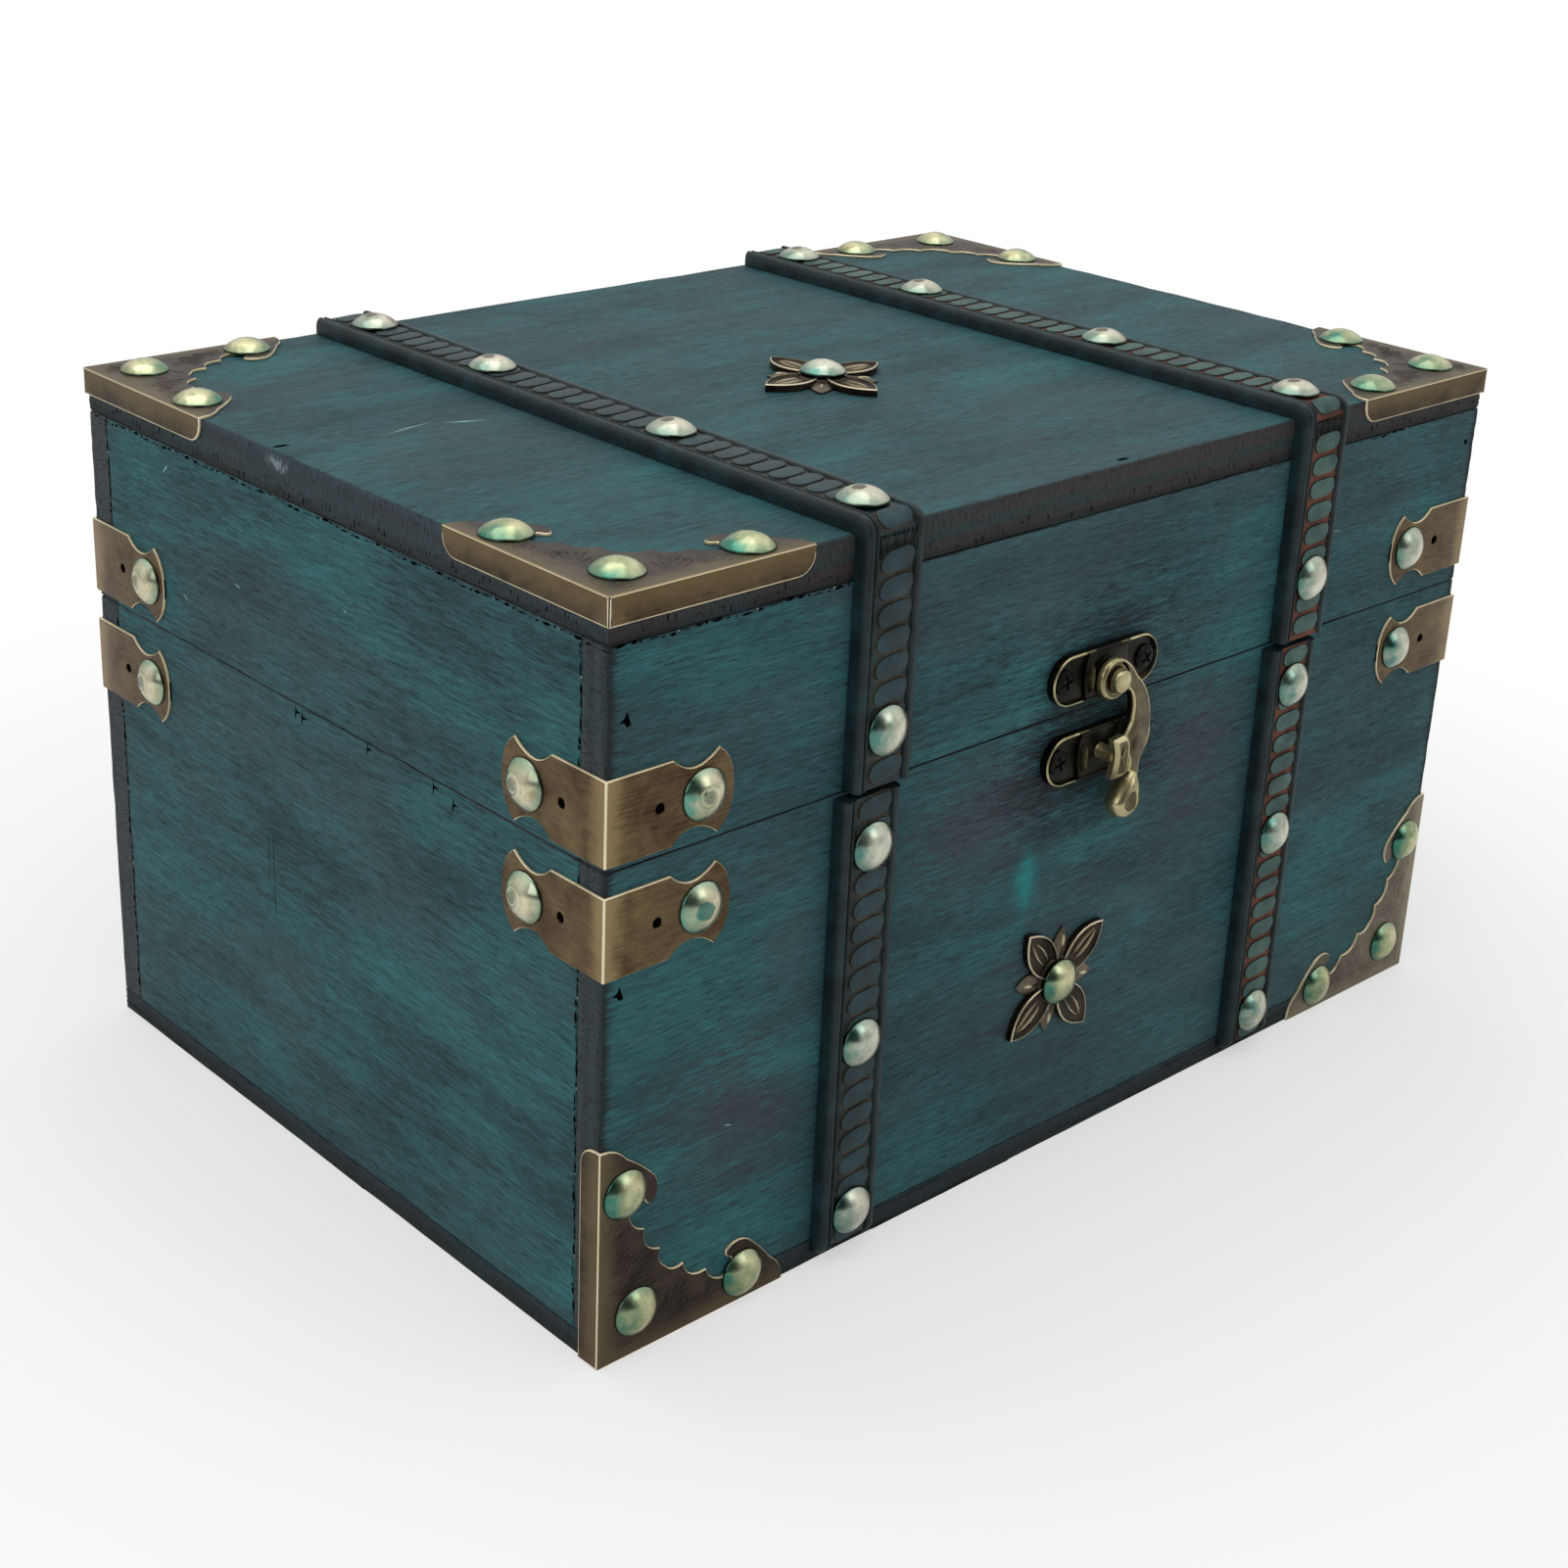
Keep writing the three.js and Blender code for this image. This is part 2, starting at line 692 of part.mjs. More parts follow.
function hingeLeaf(upward, ownKnuckles, otherKnuckles) {
  const back = -hingeRadius;
  const front = back + hingeLeafThickness;
  const near = upward * hingeEdgeGap / 2;
  const far = upward * hingeLeafHeight;
  const plate = block(
    [-hingeWidth / 2, Math.min(near, far), back],
    [hingeWidth / 2, Math.max(near, far), front],
  );
  const knuckles = ownKnuckles.map((index) => barrelRod(hingeBarrelDiameter, ...span(index, -fitGap / 2)));
  const clearances = otherKnuckles.map((index) => barrelRod(
    hingeBarrelDiameter + 2 * fitGap,
    ...span(index, fitGap / 2),
  ));
  const cleared = cut(plate, clearances);
  const bore = barrelRod(hingePinDiameter + 2 * fitGap, -hingeWidth, hingeWidth);
  const holes = hingeScrewPlaces(upward).map((place) => moved(
    screwHole(hingeScrew, hingeScrewLength),
    place,
  ));
  return cut(join([cleared, ...knuckles]), [bore, ...holes]);
}

function hingeScrewPlaces(upward) {
  const height = upward * (hingeLeafHeight - hingeScrewInset);
  const out = hingeLeafThickness - hingeRadius + seatGap;
  const across = hingeWidth / 2 - hingeScrewEnd;
  return [-1, 1].map((end) => shift(end * across, height, out));
}

function hingePin() {
  const shank = hingePinDiameter / 2;
  const head = hingePinHeadDiameter / 2;
  const end = hingeWidth / 2 + seatGap;
  return turned([
    [0, -end - hingePinHeadLength],
    [head / 2, -end - hingePinHeadLength],
    [head, -end],
    [shank, -end],
    [shank, end],
    [head, end],
    [head / 2, end + hingePinHeadLength],
    [0, end + hingePinHeadLength],
  ], roundSides).rotateY(quarterTurn);
}

// Places of everything that is fastened to the wood
const lidBrackets = Object.entries(corners).map(([name, corner]) => ({
  name: `lid_bracket_${name}`,
  place: chain(shift(0, 0, boxHeight), corner),
}));
const baseBrackets = [
  { name: 'base_bracket_left', place: onSide(sides.front, -halfWidth, sheetSeat, 0) },
  {
    name: 'base_bracket_right',
    place: chain(onSide(sides.front, halfWidth, sheetSeat, 0), turnZ(quarterTurn)),
  },
];
function cornerStraps(part, away, room) {
  return Object.entries(corners).map(([name, corner]) => {
    const reach = cornerStrapHeight / 2 + room * cornerStrapShares[name][part];
    return {
      name: `${part}_corner_strap_${name}`,
      place: chain(shift(0, 0, seamHeight + away * reach), corner),
    };
  });
}
const lidCornerStraps = cornerStraps('lid', 1, lidCornerRoom);
const baseCornerStraps = cornerStraps('base', -1, baseCornerRoom);
const straps = Object.entries(strapNailShares).map(([name, shares]) => {
  const lidX = name === 'left' ? -lidStrapOffset : lidStrapOffset;
  const topNails = strapTopNailShares.map((share) => onTop(0, share * boxDepth - halfDepth, strapStack));
  const lidNailHeight = seamHeight + lidHeight * shares.lid;
  return {
    name,
    lidPlace: shift(lidX, 0, 0),
    basePlace: shift(lidX + baseStrapShift, 0, 0),
    lidNails: [...topNails, onSide(sides.front, 0, lidNailHeight, strapStack)],
    baseNails: shares.base.map((share) => onSide(sides.front, 0, share * seamHeight, strapStack)),
  };
});
const baseFlowerPlace = chain(
  onSide(sides.front, baseFlowerX, baseFlowerHeight, 0),
  turnZ(baseFlowerTurn),
);
const lidFlowerPlace = chain(onTop(lidFlowerX, lidFlowerY, 0), turnZ(lidFlowerTurn));
const hookPlatePlace = onSide(sides.front, 0, hookPlateHeight, 0);
const pivotPlace = onSide(sides.front, 0, pivotHeight, 0);
const catchPlatePlace = onSide(sides.front, 0, catchPlateHeight, 0);
const hingePlaces = {
  left: onSide(sides.back, hingeOffset, seamHeight, hingeOut),
  right: onSide(sides.back, -hingeOffset, seamHeight, hingeOut),
};

// Each fastener's place, by the node that holds it
function carried(carriers, places) {
  return carriers.flatMap(({ place }) => places.map((local) => chain(place, local)));
}
const lidBracketNails = carried(lidBrackets, bracketNails);
const baseBracketNails = carried(baseBrackets, bracketNails);
const lidCornerNails = carried(lidCornerStraps, wingNails);
const baseCornerNails = carried(baseCornerStraps, wingNails);
const lidStrapNails = straps.flatMap((strap) => carried([{ place: strap.lidPlace }], strap.lidNails));
const baseStrapNails = straps.flatMap((strap) => carried([{ place: strap.basePlace }], strap.baseNails));
const flowerNail = shift(0, 0, flowerStack);
const latchScrews = latchScrewPlaces.map((x) => shift(x, 0, plateFace + seatGap));
const hookPlateScrews = latchScrews.map((local) => chain(hookPlatePlace, local));
const catchPlateScrews = latchScrews.map((local) => chain(catchPlatePlace, local));
const hinges = Object.values(hingePlaces).map((place) => ({ place }));
const lidHingeScrews = carried(hinges, hingeScrewPlaces(1));
const baseHingeScrews = carried(hinges, hingeScrewPlaces(-1));

// Holes that the fasteners need in the boards
function holesFor(cutter, places) {
  return places.map((place) => moved(cutter, place));
}
const lidHoles = join([
  ...holesFor(nailHole(sheetStack), [...lidBracketNails, ...lidCornerNails]),
  ...holesFor(nailHole(strapStack), lidStrapNails),
  ...holesFor(nailHole(flowerStack), [chain(lidFlowerPlace, flowerNail)]),
  ...holesFor(screwHole(latchScrew, latchScrewLength), hookPlateScrews),
  ...holesFor(screwHole(hingeScrew, hingeScrewLength), lidHingeScrews),
]);
const recessDepth = sheetSeat + seatGap;
const recessReach = bracketLeg + fitGap;
const baseHoles = join([
  ...holesFor(nailHole(sheetStack), [...baseBracketNails, ...baseCornerNails]),
  ...holesFor(nailHole(strapStack), baseStrapNails),
  ...holesFor(nailHole(flowerStack), [chain(baseFlowerPlace, flowerNail)]),
  ...holesFor(screwHole(latchScrew, latchScrewLength), catchPlateScrews),
  ...holesFor(screwHole(hingeScrew, hingeScrewLength), baseHingeScrews),
  ...[-1, 1].map((end) => block(
    [Math.min(end * (halfWidth - recessReach), end * (halfWidth + overrun)),
      -halfDepth - overrun, -overrun],
    [Math.max(end * (halfWidth - recessReach), end * (halfWidth + overrun)),
      bracketFlange + fitGap - halfDepth, recessDepth],
  )),
]);

// Boards: each is a block between two corners, cut for what is fastened in it.
function board(name, low, high, holes) {
  const middle = high.map((value, i) => (value + low[i]) / 2);
  const geometry = cut(block(low, high), [holes]).translate(...middle.map((value) => -value));
  return piece(name, geometry, stainedWood, shift(...middle));
}

function boards(prefix, suffixes, foot, top, holes) {
  const endDepth = halfDepth - wall - glueGap;
  return [
    board(`${prefix}_front_${suffixes[0]}`,
      [-halfWidth, -halfDepth, foot], [halfWidth, wall - halfDepth, top], holes),
    board(`${prefix}_back_${suffixes[0]}`,
      [-halfWidth, halfDepth - wall, foot], [halfWidth, halfDepth, top], holes),
    board(`${prefix}_left_${suffixes[1]}`,
      [-halfWidth, -endDepth, foot], [wall - halfWidth, endDepth, top], holes),
    board(`${prefix}_right_${suffixes[1]}`,
      [halfWidth - wall, -endDepth, foot], [halfWidth, endDepth, top], holes),
  ];
}

function makeBase() {
  const base = new THREE.Group();
  base.name = 'base';
  base.add(
    ...boards('base', ['panel', 'end'], bottomThickness + glueGap, baseTop, baseHoles),
    board('base_bottom_panel',
      [-halfWidth, -halfDepth, 0], [halfWidth, halfDepth, bottomThickness], baseHoles),
    ...straps.map((strap) => piece(
      `base_strap_${strap.name}`, baseStrap(strap.baseNails), embossedStrap, strap.basePlace)),
    ...baseCornerStraps.map(({ name, place }) => piece(name, cornerStrap(), brushedBrass, place)),
    ...baseBrackets.map(({ name, place }) => piece(name, bracket(), agedBrass, place)),
    piece('base_flower', flower(), agedBrass, baseFlowerPlace),
    piece('base_flower_nail', nail(flowerStack), paleBrass, chain(baseFlowerPlace, flowerNail)),
    piece('catch_plate', catchPlate(), darkBronze, catchPlatePlace),
    piece('keeper', keeper(), darkBronze, catchPlatePlace),
    ...screws('catch_plate_screw', latchScrew, latchScrewLength, catchPlateScrews),
    ...screws('hinge_base_screw', hingeScrew, hingeScrewLength, baseHingeScrews),
  );
  for (const [name, place] of Object.entries(hingePlaces)) {
    base.add(piece(`hinge_base_leaf_${name}`, hingeLeaf(-1, [0, 2], [1]), darkBronze, place));
    base.add(piece(`hinge_pin_${name}`, hingePin(), darkBronze, place));
  }
  return base;
}

function makeLid() {
  const lid = new THREE.Group();
  lid.name = 'lid';
  lid.add(
    ...boards('lid', ['rail', 'rail'], lidFoot, lidRailTop - glueGap, lidHoles),
    board('lid_top_panel',
      [-halfWidth, -halfDepth, lidRailTop], [halfWidth, halfDepth, boxHeight], lidHoles),
    ...straps.map((strap) => piece(
      `lid_strap_${strap.name}`, lidStrap(strap.lidNails), embossedStrap, strap.lidPlace)),
    ...lidCornerStraps.map(({ name, place }) => piece(name, cornerStrap(), brushedBrass, place)),
    ...lidBrackets.map(({ name, place }) => piece(name, bracket(), agedBrass, place)),
    piece('lid_flower', flower(), agedBrass, lidFlowerPlace),
    piece('lid_flower_nail', nail(flowerStack), paleBrass, chain(lidFlowerPlace, flowerNail)),
    piece('hook_plate', hookPlate(), darkBronze, hookPlatePlace),
    piece('pivot_rivet', pivotRivet(), darkBronze, pivotPlace),
    ...screws('hook_plate_screw', latchScrew, latchScrewLength, hookPlateScrews),
    ...screws('hinge_lid_screw', hingeScrew, hingeScrewLength, lidHingeScrews),
  );
  for (const [name, place] of Object.entries(hingePlaces)) {
    lid.add(piece(`hinge_lid_leaf_${name}`, hingeLeaf(1, [1], [0, 2]), darkBronze, place));
  }
  return lid;
}

const chest = new THREE.Group();
chest.name = 'treasure_chest';
chest.add(makeBase(), makeLid(), piece('swing_hook', swingHook(), darkBronze, pivotPlace));
chest.updateMatrixWorld(true);

export default chest;
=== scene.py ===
import math

import bpy
from mathutils import Matrix, Vector


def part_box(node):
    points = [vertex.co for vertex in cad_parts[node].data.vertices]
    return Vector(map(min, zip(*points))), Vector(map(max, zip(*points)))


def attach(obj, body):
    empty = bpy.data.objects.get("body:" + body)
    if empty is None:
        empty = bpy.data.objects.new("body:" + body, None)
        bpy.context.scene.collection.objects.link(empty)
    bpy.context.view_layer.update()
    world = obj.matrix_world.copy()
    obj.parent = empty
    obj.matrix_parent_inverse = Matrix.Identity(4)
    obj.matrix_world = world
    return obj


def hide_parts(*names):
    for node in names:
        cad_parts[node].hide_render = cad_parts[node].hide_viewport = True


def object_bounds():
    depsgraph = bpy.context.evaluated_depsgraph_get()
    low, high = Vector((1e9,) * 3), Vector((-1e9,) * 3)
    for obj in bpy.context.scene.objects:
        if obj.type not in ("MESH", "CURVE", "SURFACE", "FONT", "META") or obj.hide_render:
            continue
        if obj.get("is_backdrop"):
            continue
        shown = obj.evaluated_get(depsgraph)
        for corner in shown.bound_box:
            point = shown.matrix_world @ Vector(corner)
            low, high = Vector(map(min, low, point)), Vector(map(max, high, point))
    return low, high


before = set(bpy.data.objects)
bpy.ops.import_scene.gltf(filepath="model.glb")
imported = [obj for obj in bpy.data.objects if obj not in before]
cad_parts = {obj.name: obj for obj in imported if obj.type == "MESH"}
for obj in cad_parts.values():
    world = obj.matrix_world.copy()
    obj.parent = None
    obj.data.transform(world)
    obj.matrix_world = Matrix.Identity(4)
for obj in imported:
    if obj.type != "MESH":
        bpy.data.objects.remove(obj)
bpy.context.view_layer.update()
bpy.ops.object.select_all(action="DESELECT")
mm = 0.001

# Studio: the chest stands on a white sweep and is seen from its front left corner, a little
# from above. The light is a white room with a large soft lamp over the chest and smaller
# ones to the left and in front.
photo_size = 1601
focal_length_pixels = 2572
view_centre_pixel = Vector((772.1, 698.2))
camera_place = Vector((-365.1, -377.2, 286.4)) * mm
camera_azimuth = math.radians(-43.03)
camera_elevation = math.radians(21.85)
camera_roll = math.radians(2.32)


def camera_frame(azimuth, elevation, roll):
    """Rows that point to the picture's right, to its top and back to the camera."""
    back = Vector((
        math.sin(azimuth) * math.cos(elevation),
        -math.cos(azimuth) * math.cos(elevation),
        math.sin(elevation),
    ))
    level = Vector((0, 0, 1)).cross(back).normalized()
    upright = back.cross(level)
    right = level * math.cos(roll) + upright * math.sin(roll)
    top = upright * math.cos(roll) - level * math.sin(roll)
    return Matrix((right, top, back))


bpy.ops.object.camera_add(location=camera_place)
camera = bpy.context.object
turned = camera_frame(camera_azimuth, camera_elevation, camera_roll).transposed().to_4x4()
camera.matrix_world = Matrix.Translation(camera_place) @ turned
camera.data.lens = camera.data.sensor_width * focal_length_pixels / photo_size
camera.data.shift_x = 0.5 - view_centre_pixel.x / photo_size
camera.data.shift_y = view_centre_pixel.y / photo_size - 0.5
camera.data.clip_start = 10 * mm
camera.data.clip_end = 20
bpy.context.scene.camera = camera
bpy.context.scene.view_settings.view_transform = "Standard"


def add_node(tree, kind, inputs=None, **settings):
    """Adds a shader node with its settings. An input is a value, a socket or a node, whose
    first output is then linked."""
    node = tree.nodes.new("ShaderNode" + kind)
    for name, value in settings.items():
        setattr(node, name, value)
    for name, value in (inputs or {}).items():
        if isinstance(value, bpy.types.Node):
            value = value.outputs[0]
        if isinstance(value, bpy.types.NodeSocket):
            tree.links.new(value, node.inputs[name])
        else:
            node.inputs[name].default_value = value
    return node


def paint(code):
    """The linear colour of an sRGB hex code."""
    parts = [int(code[i:i + 2], 16) / 255 for i in (1, 3, 5)]
    linear = [p / 12.92 if p <= 0.04045 else ((p + 0.055) / 1.055) ** 2.4 for p in parts]
    return (*linear, 1)


def empty_tree(owner):
    owner.use_nodes = True
    owner.node_tree.nodes.clear()
    return owner.node_tree


white = (1, 1, 1, 1)
room_light = 0.62
world = bpy.data.worlds.new("white_room")
bpy.context.scene.world = world
tree = empty_tree(world)
ray = add_node(tree, "LightPath")
seen = add_node(tree, "Math", {0: ray.outputs["Is Camera Ray"], 1: ray.outputs["Is Transmission Ray"]},
                operation="MAXIMUM")
# What polished metal mirrors: a dark corner of the room behind the camera, and walls that
# are brighter towards the ceiling
way = add_node(tree, "TexCoord").outputs["Generated"]
height = add_node(tree, "SeparateXYZ", {0: way})
wall = add_node(tree, "MapRange",
                {"Value": height.outputs["Z"], "From Min": -0.1, "From Max": 0.7, "To Min": 0.5,
                 "To Max": 1.1})
dark_side = Vector((-0.69, -0.71, 0.13))
facing = add_node(tree, "VectorMath", {0: way, 1: dark_side}, operation="DOT_PRODUCT")
dark_room = add_node(tree, "MapRange",
                     {"Value": facing.outputs["Value"], "From Min": 0.42, "From Max": 0.84, "To Min": 1,
                      "To Max": 0.08}, interpolation_type="SMOOTHSTEP")
mirror = add_node(tree, "Math", {0: wall, 1: dark_room}, operation="MULTIPLY")
mirrored = add_node(tree, "Math", {0: mirror, 1: ray.outputs["Is Glossy Ray"]}, operation="MULTIPLY")
plain = add_node(tree, "Math", {0: 1, 1: ray.outputs["Is Glossy Ray"]}, operation="SUBTRACT")
spread = add_node(tree, "Math", {0: plain, 1: room_light, 2: mirrored}, operation="MULTIPLY_ADD")
level = add_node(tree, "Math", {0: seen, 1: spread}, operation="MAXIMUM")
room = add_node(tree, "Background", {"Color": white, "Strength": level})
add_node(tree, "OutputWorld", {"Surface": room})


def soft_lamp(name, place, size, watts):
    bpy.ops.object.light_add(type="AREA", location=place)
    lamp = bpy.context.object
    lamp.name = name
    lamp.data.size = size
    lamp.data.energy = watts
    lamp.rotation_euler = (-Vector(place)).to_track_quat("-Z", "Y").to_euler()
    return lamp


soft_lamp("ceiling_lamp", (-0.15, 0.1, 1.1), 0.9, 3.2)
soft_lamp("left_lamp", (-1.0, -0.35, 0.55), 0.6, 1.6)
soft_lamp("front_lamp", (0.25, -1.1, 0.7), 0.5, 1.0)

floor_reach = 4
bpy.ops.mesh.primitive_plane_add(size=2 * floor_reach)
floor = bpy.context.object
floor.name = "white_floor"
floor_paint = bpy.data.materials.new("White paper sweep")
tree = empty_tree(floor_paint)
where = add_node(tree, "TexCoord")
reach = add_node(tree, "VectorMath", {0: where.outputs["Object"]}, operation="LENGTH")
far = add_node(tree, "MapRange",
               {"Value": reach.outputs["Value"], "From Min": 0.14, "From Max": 0.34, "To Min": 0.5},
               interpolation_type="SMOOTHSTEP")
ray = add_node(tree, "LightPath")
glow = add_node(tree, "Math", {0: far, 1: ray.outputs["Is Camera Ray"]}, operation="MULTIPLY")
paper = add_node(tree, "BsdfDiffuse", {"Color": (0.93, 0.93, 0.93, 1)})
light = add_node(tree, "Emission", {"Color": white, "Strength": 1})
both = add_node(tree, "MixShader", {0: glow, 1: paper, 2: light})
add_node(tree, "OutputMaterial", {"Surface": both})
floor.data.materials.append(floor_paint)
floor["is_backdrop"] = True

# Boards: the box is glued and pinned from birch plywood, with a thicker board for the lid's
# top. Front and back boards run past the ends, whose end grain shows at the corners.
box_low = Vector(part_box("base_bottom_panel")[0])
box_high = Vector(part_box("lid_top_panel")[1])
seam_height = (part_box("base_front_panel")[1].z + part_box("lid_front_rail")[0].z) / 2
lid_joint_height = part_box("lid_top_panel")[0].z
board_rounding = 0.4 * mm
board_wobble = 0.1 * mm
board_cuts = 24
seam_gap = 0.1 * mm


def edge_distance(tree, where):
    """How far a place is from the box's nearest edge: the second smallest distance to its
    faces."""
    centre = (box_low + box_high) / 2
    half = (box_high - box_low) / 2
    local = add_node(tree, "VectorMath", {0: where, 1: centre}, operation="SUBTRACT")
    folded = add_node(tree, "VectorMath", {0: local}, operation="ABSOLUTE")
    inset = add_node(tree, "VectorMath", {0: half, 1: folded}, operation="SUBTRACT")
    parts = add_node(tree, "SeparateXYZ", {0: inset})
    least = add_node(tree, "Math", {0: parts, 1: parts.outputs[1]}, operation="MINIMUM")
    most = add_node(tree, "Math", {0: parts, 1: parts.outputs[1]}, operation="MAXIMUM")
    upper = add_node(tree, "Math", {0: most, 1: parts.outputs[2]}, operation="MINIMUM")
    return add_node(tree, "Math", {0: least, 1: upper}, operation="MAXIMUM").outputs[0]


# Places on the front in millimetres, each with how far it spreads: where the brown ground shows through
# the stain, where a drop of stain dried thick, and the dark patches round the latch plates, partly stain
# and partly painted shade of the plates and the hook
bare_patches = [((-30, -85, 82), (26, 20, 20)), ((34, -85, 80), (20, 20, 22)),
                ((-6, -85, 42), (26, 20, 26)), ((-94, -85, 42), (24, 20, 24))]
thick_stain = ((-17, -85, 66), (3.6, 6, 8))
latch_stain_and_painted_shade = [((-2, -85, 105), (29, 20, 18)), ((-2, -85, 88), (29, 20, 19))]


def stained_face(name, grain, scorch, smudged):
    """Birch plywood with a teal wood stain wiped thin over brown, so that the fibres and the
    darker smudges show. The grain runs along the given axis, the wood is scorched for so many
    millimetres from the edges, and smudged is how strong the smudges are."""
    material = bpy.data.materials.new(name)
    tree = empty_tree(material)
    place = add_node(tree, "TexCoord")
    where = place.outputs["Object"]

    def stretched(long, short):
        scale = [1 / (short * mm)] * 3
        scale[grain] = 1 / (long * mm)
        return add_node(tree, "Mapping", {"Vector": where, "Scale": scale}).outputs[0]

    # Fibres are drawn a little coarser than real ones, so that they show from a metre away
    fibres = add_node(tree, "TexNoise",
                      {"Vector": stretched(3.8, 0.34), "Scale": 1, "Detail": 3, "Roughness": 0.7})
    strokes = add_node(tree, "TexNoise",
                       {"Vector": stretched(20, 0.7), "Scale": 1, "Detail": 3, "Roughness": 0.6})
    pools = add_node(tree, "TexNoise",
                     {"Vector": stretched(44, 15), "Scale": 1, "Detail": 6, "Roughness": 0.62})
    smudges = add_node(tree, "TexNoise",
                       {"Vector": stretched(60, 34), "Scale": 1, "Detail": 5, "Roughness": 0.6,
                        "Distortion": 0.5})

    # Stain: grey where it was wiped thin, teal where it pooled between the fibres
    fine = add_node(tree, "Mix", {0: 0.3, 2: fibres, 3: strokes})
    depth = add_node(tree, "Mix", {0: 0.38, 2: fine, 3: pools})
    stain = add_node(tree, "ValToRGB", {0: depth})
    ramp = stain.color_ramp
    ramp.elements[0].position, ramp.elements[0].color = 0.34, paint("#1a2a2f")
    ramp.elements[1].position, ramp.elements[1].color = 0.67, paint("#307574")
    ramp.elements.new(0.43).color = paint("#223e43")
    ramp.elements.new(0.5).color = paint("#2a5054")
    ramp.elements.new(0.57).color = paint("#306063")
    smudge = add_node(tree, "MapRange",
                      {"Value": smudges, "From Min": 0.45, "From Max": 0.64, "To Min": 0,
                       "To Max": smudged})

    def spread(centre, radii, most, torn_by):
        away = add_node(tree, "VectorMath", {0: where, 1: Vector(centre) * mm}, operation="SUBTRACT")
        away = add_node(tree, "VectorMath", {0: away, 1: Vector(radii) * mm}, operation="DIVIDE")
        far = add_node(tree, "VectorMath", {0: away}, operation="LENGTH")
        torn = add_node(tree, "Math", {0: torn_by, 1: 5, 2: far.outputs["Value"]},
                        operation="MULTIPLY_ADD")
        return add_node(tree, "MapRange",
                        {"Value": torn, "From Min": 2.5, "From Max": 3.6, "To Min": most, "To Max": 0},
                        interpolation_type="SMOOTHSTEP").outputs[0]

    for centre, radii in bare_patches:
        smudge = add_node(tree, "Math", {0: smudge, 1: spread(centre, radii, 0.75, depth)},
                          operation="MAXIMUM")
    smudge_tone = add_node(tree, "Mix", {0: fine, 6: paint("#1e2429"), 7: paint("#4e5158")},
                           data_type="RGBA")
    wiped = add_node(tree, "Mix", {0: smudge, 6: stain, 7: smudge_tone.outputs[2]}, data_type="RGBA")
    wiped = add_node(tree, "Mix",
                     {0: spread(*thick_stain, 0.8, fibres), 6: wiped.outputs[2], 7: paint("#1c8586")},
                     data_type="RGBA")
    # Dark patches round the latch plates: partly stain, partly painted shade of the plates and the hook
    for centre, radii in latch_stain_and_painted_shade:
        wiped = add_node(tree, "Mix",
                         {0: spread(centre, radii, 0.92, depth), 6: wiped.outputs[2],
                          7: paint("#12191c")}, data_type="RGBA")

    # Open pores, dark with stain
    pores = add_node(tree, "MapRange",
                     {"Value": fibres, "From Min": 0.3, "From Max": 0.38, "To Min": 0.55, "To Max": 0})
    porous = add_node(tree, "Mix", {0: pores, 6: wiped.outputs[2], 7: paint("#0c1418")}, data_type="RGBA")

    # Scorched edges, made uneven by the grain
    edge = edge_distance(tree, where)
    ragged = add_node(tree, "Math", {0: depth, 1: scorch * 2.2 * mm, 2: edge}, operation="MULTIPLY_ADD")
    burn = add_node(tree, "MapRange",
                    {"Value": ragged, "From Min": scorch * 1.2 * mm, "From Max": scorch * 2.1 * mm,
                     "To Min": 0.9, "To Max": 0}, interpolation_type="SMOOTHSTEP")
    burnt = add_node(tree, "Mix", {0: burn, 6: porous.outputs[2], 7: paint("#1b1e20")}, data_type="RGBA")

    # Joints: torn dark dashes under the lid's top board, over the bottom board and at the seam
    up = add_node(tree, "SeparateXYZ", {0: where}).outputs[2]
    lines = 0
    for line_height, width, broken in ((lid_joint_height, 1.2, 0.4), (box_low.z + 5 * mm, 0.9, 0.45),
                                       (seam_height, 0.5, 0.47)):
        away = add_node(tree, "Math", {0: up, 1: line_height}, operation="SUBTRACT")
        away = add_node(tree, "Math", {0: away}, operation="ABSOLUTE")
        torn = add_node(tree, "Math", {0: fibres, 1: 2 * width * mm, 2: away}, operation="MULTIPLY_ADD")
        line = add_node(tree, "MapRange",
                        {"Value": torn, "From Min": 1.15 * width * mm, "From Max": 1.4 * width * mm,
                         "To Min": 1, "To Max": 0})
        dashes = add_node(tree, "MapRange",
                          {"Value": strokes, "From Min": broken - 0.05, "From Max": broken + 0.05})
        dashed = add_node(tree, "Math", {0: line, 1: dashes}, operation="MULTIPLY")
        lines = add_node(tree, "Math", {0: lines, 1: dashed}, operation="MAXIMUM").outputs[0]
    tilt = add_node(tree, "SeparateXYZ", {0: place.outputs["Normal"]}).outputs[2]
    level = add_node(tree, "Math", {0: tilt}, operation="ABSOLUTE")
    on_sides = add_node(tree, "Math", {0: lines, 1: level}, operation="SUBTRACT", use_clamp=True)
    lined = add_node(tree, "Mix", {0: on_sides, 6: burnt.outputs[2], 7: paint("#0b0d0e")},
                     data_type="RGBA")

    # Dust and tiny pale chips
    cells = add_node(tree, "TexVoronoi", {"Vector": stretched(6, 4.5), "Scale": 1})
    chip = add_node(tree, "MapRange",
                    {"Value": cells.outputs["Distance"], "From Min": 0.03, "From Max": 0.055,
                     "To Min": 0.5, "To Max": 0})
    rare = add_node(tree, "Math", {0: cells.outputs["Color"], 1: 0.7}, operation="GREATER_THAN")
    chips = add_node(tree, "Math", {0: chip, 1: rare}, operation="MULTIPLY")
    face = add_node(tree, "Mix", {0: chips, 6: lined.outputs[2], 7: paint("#7d9593")}, data_type="RGBA")

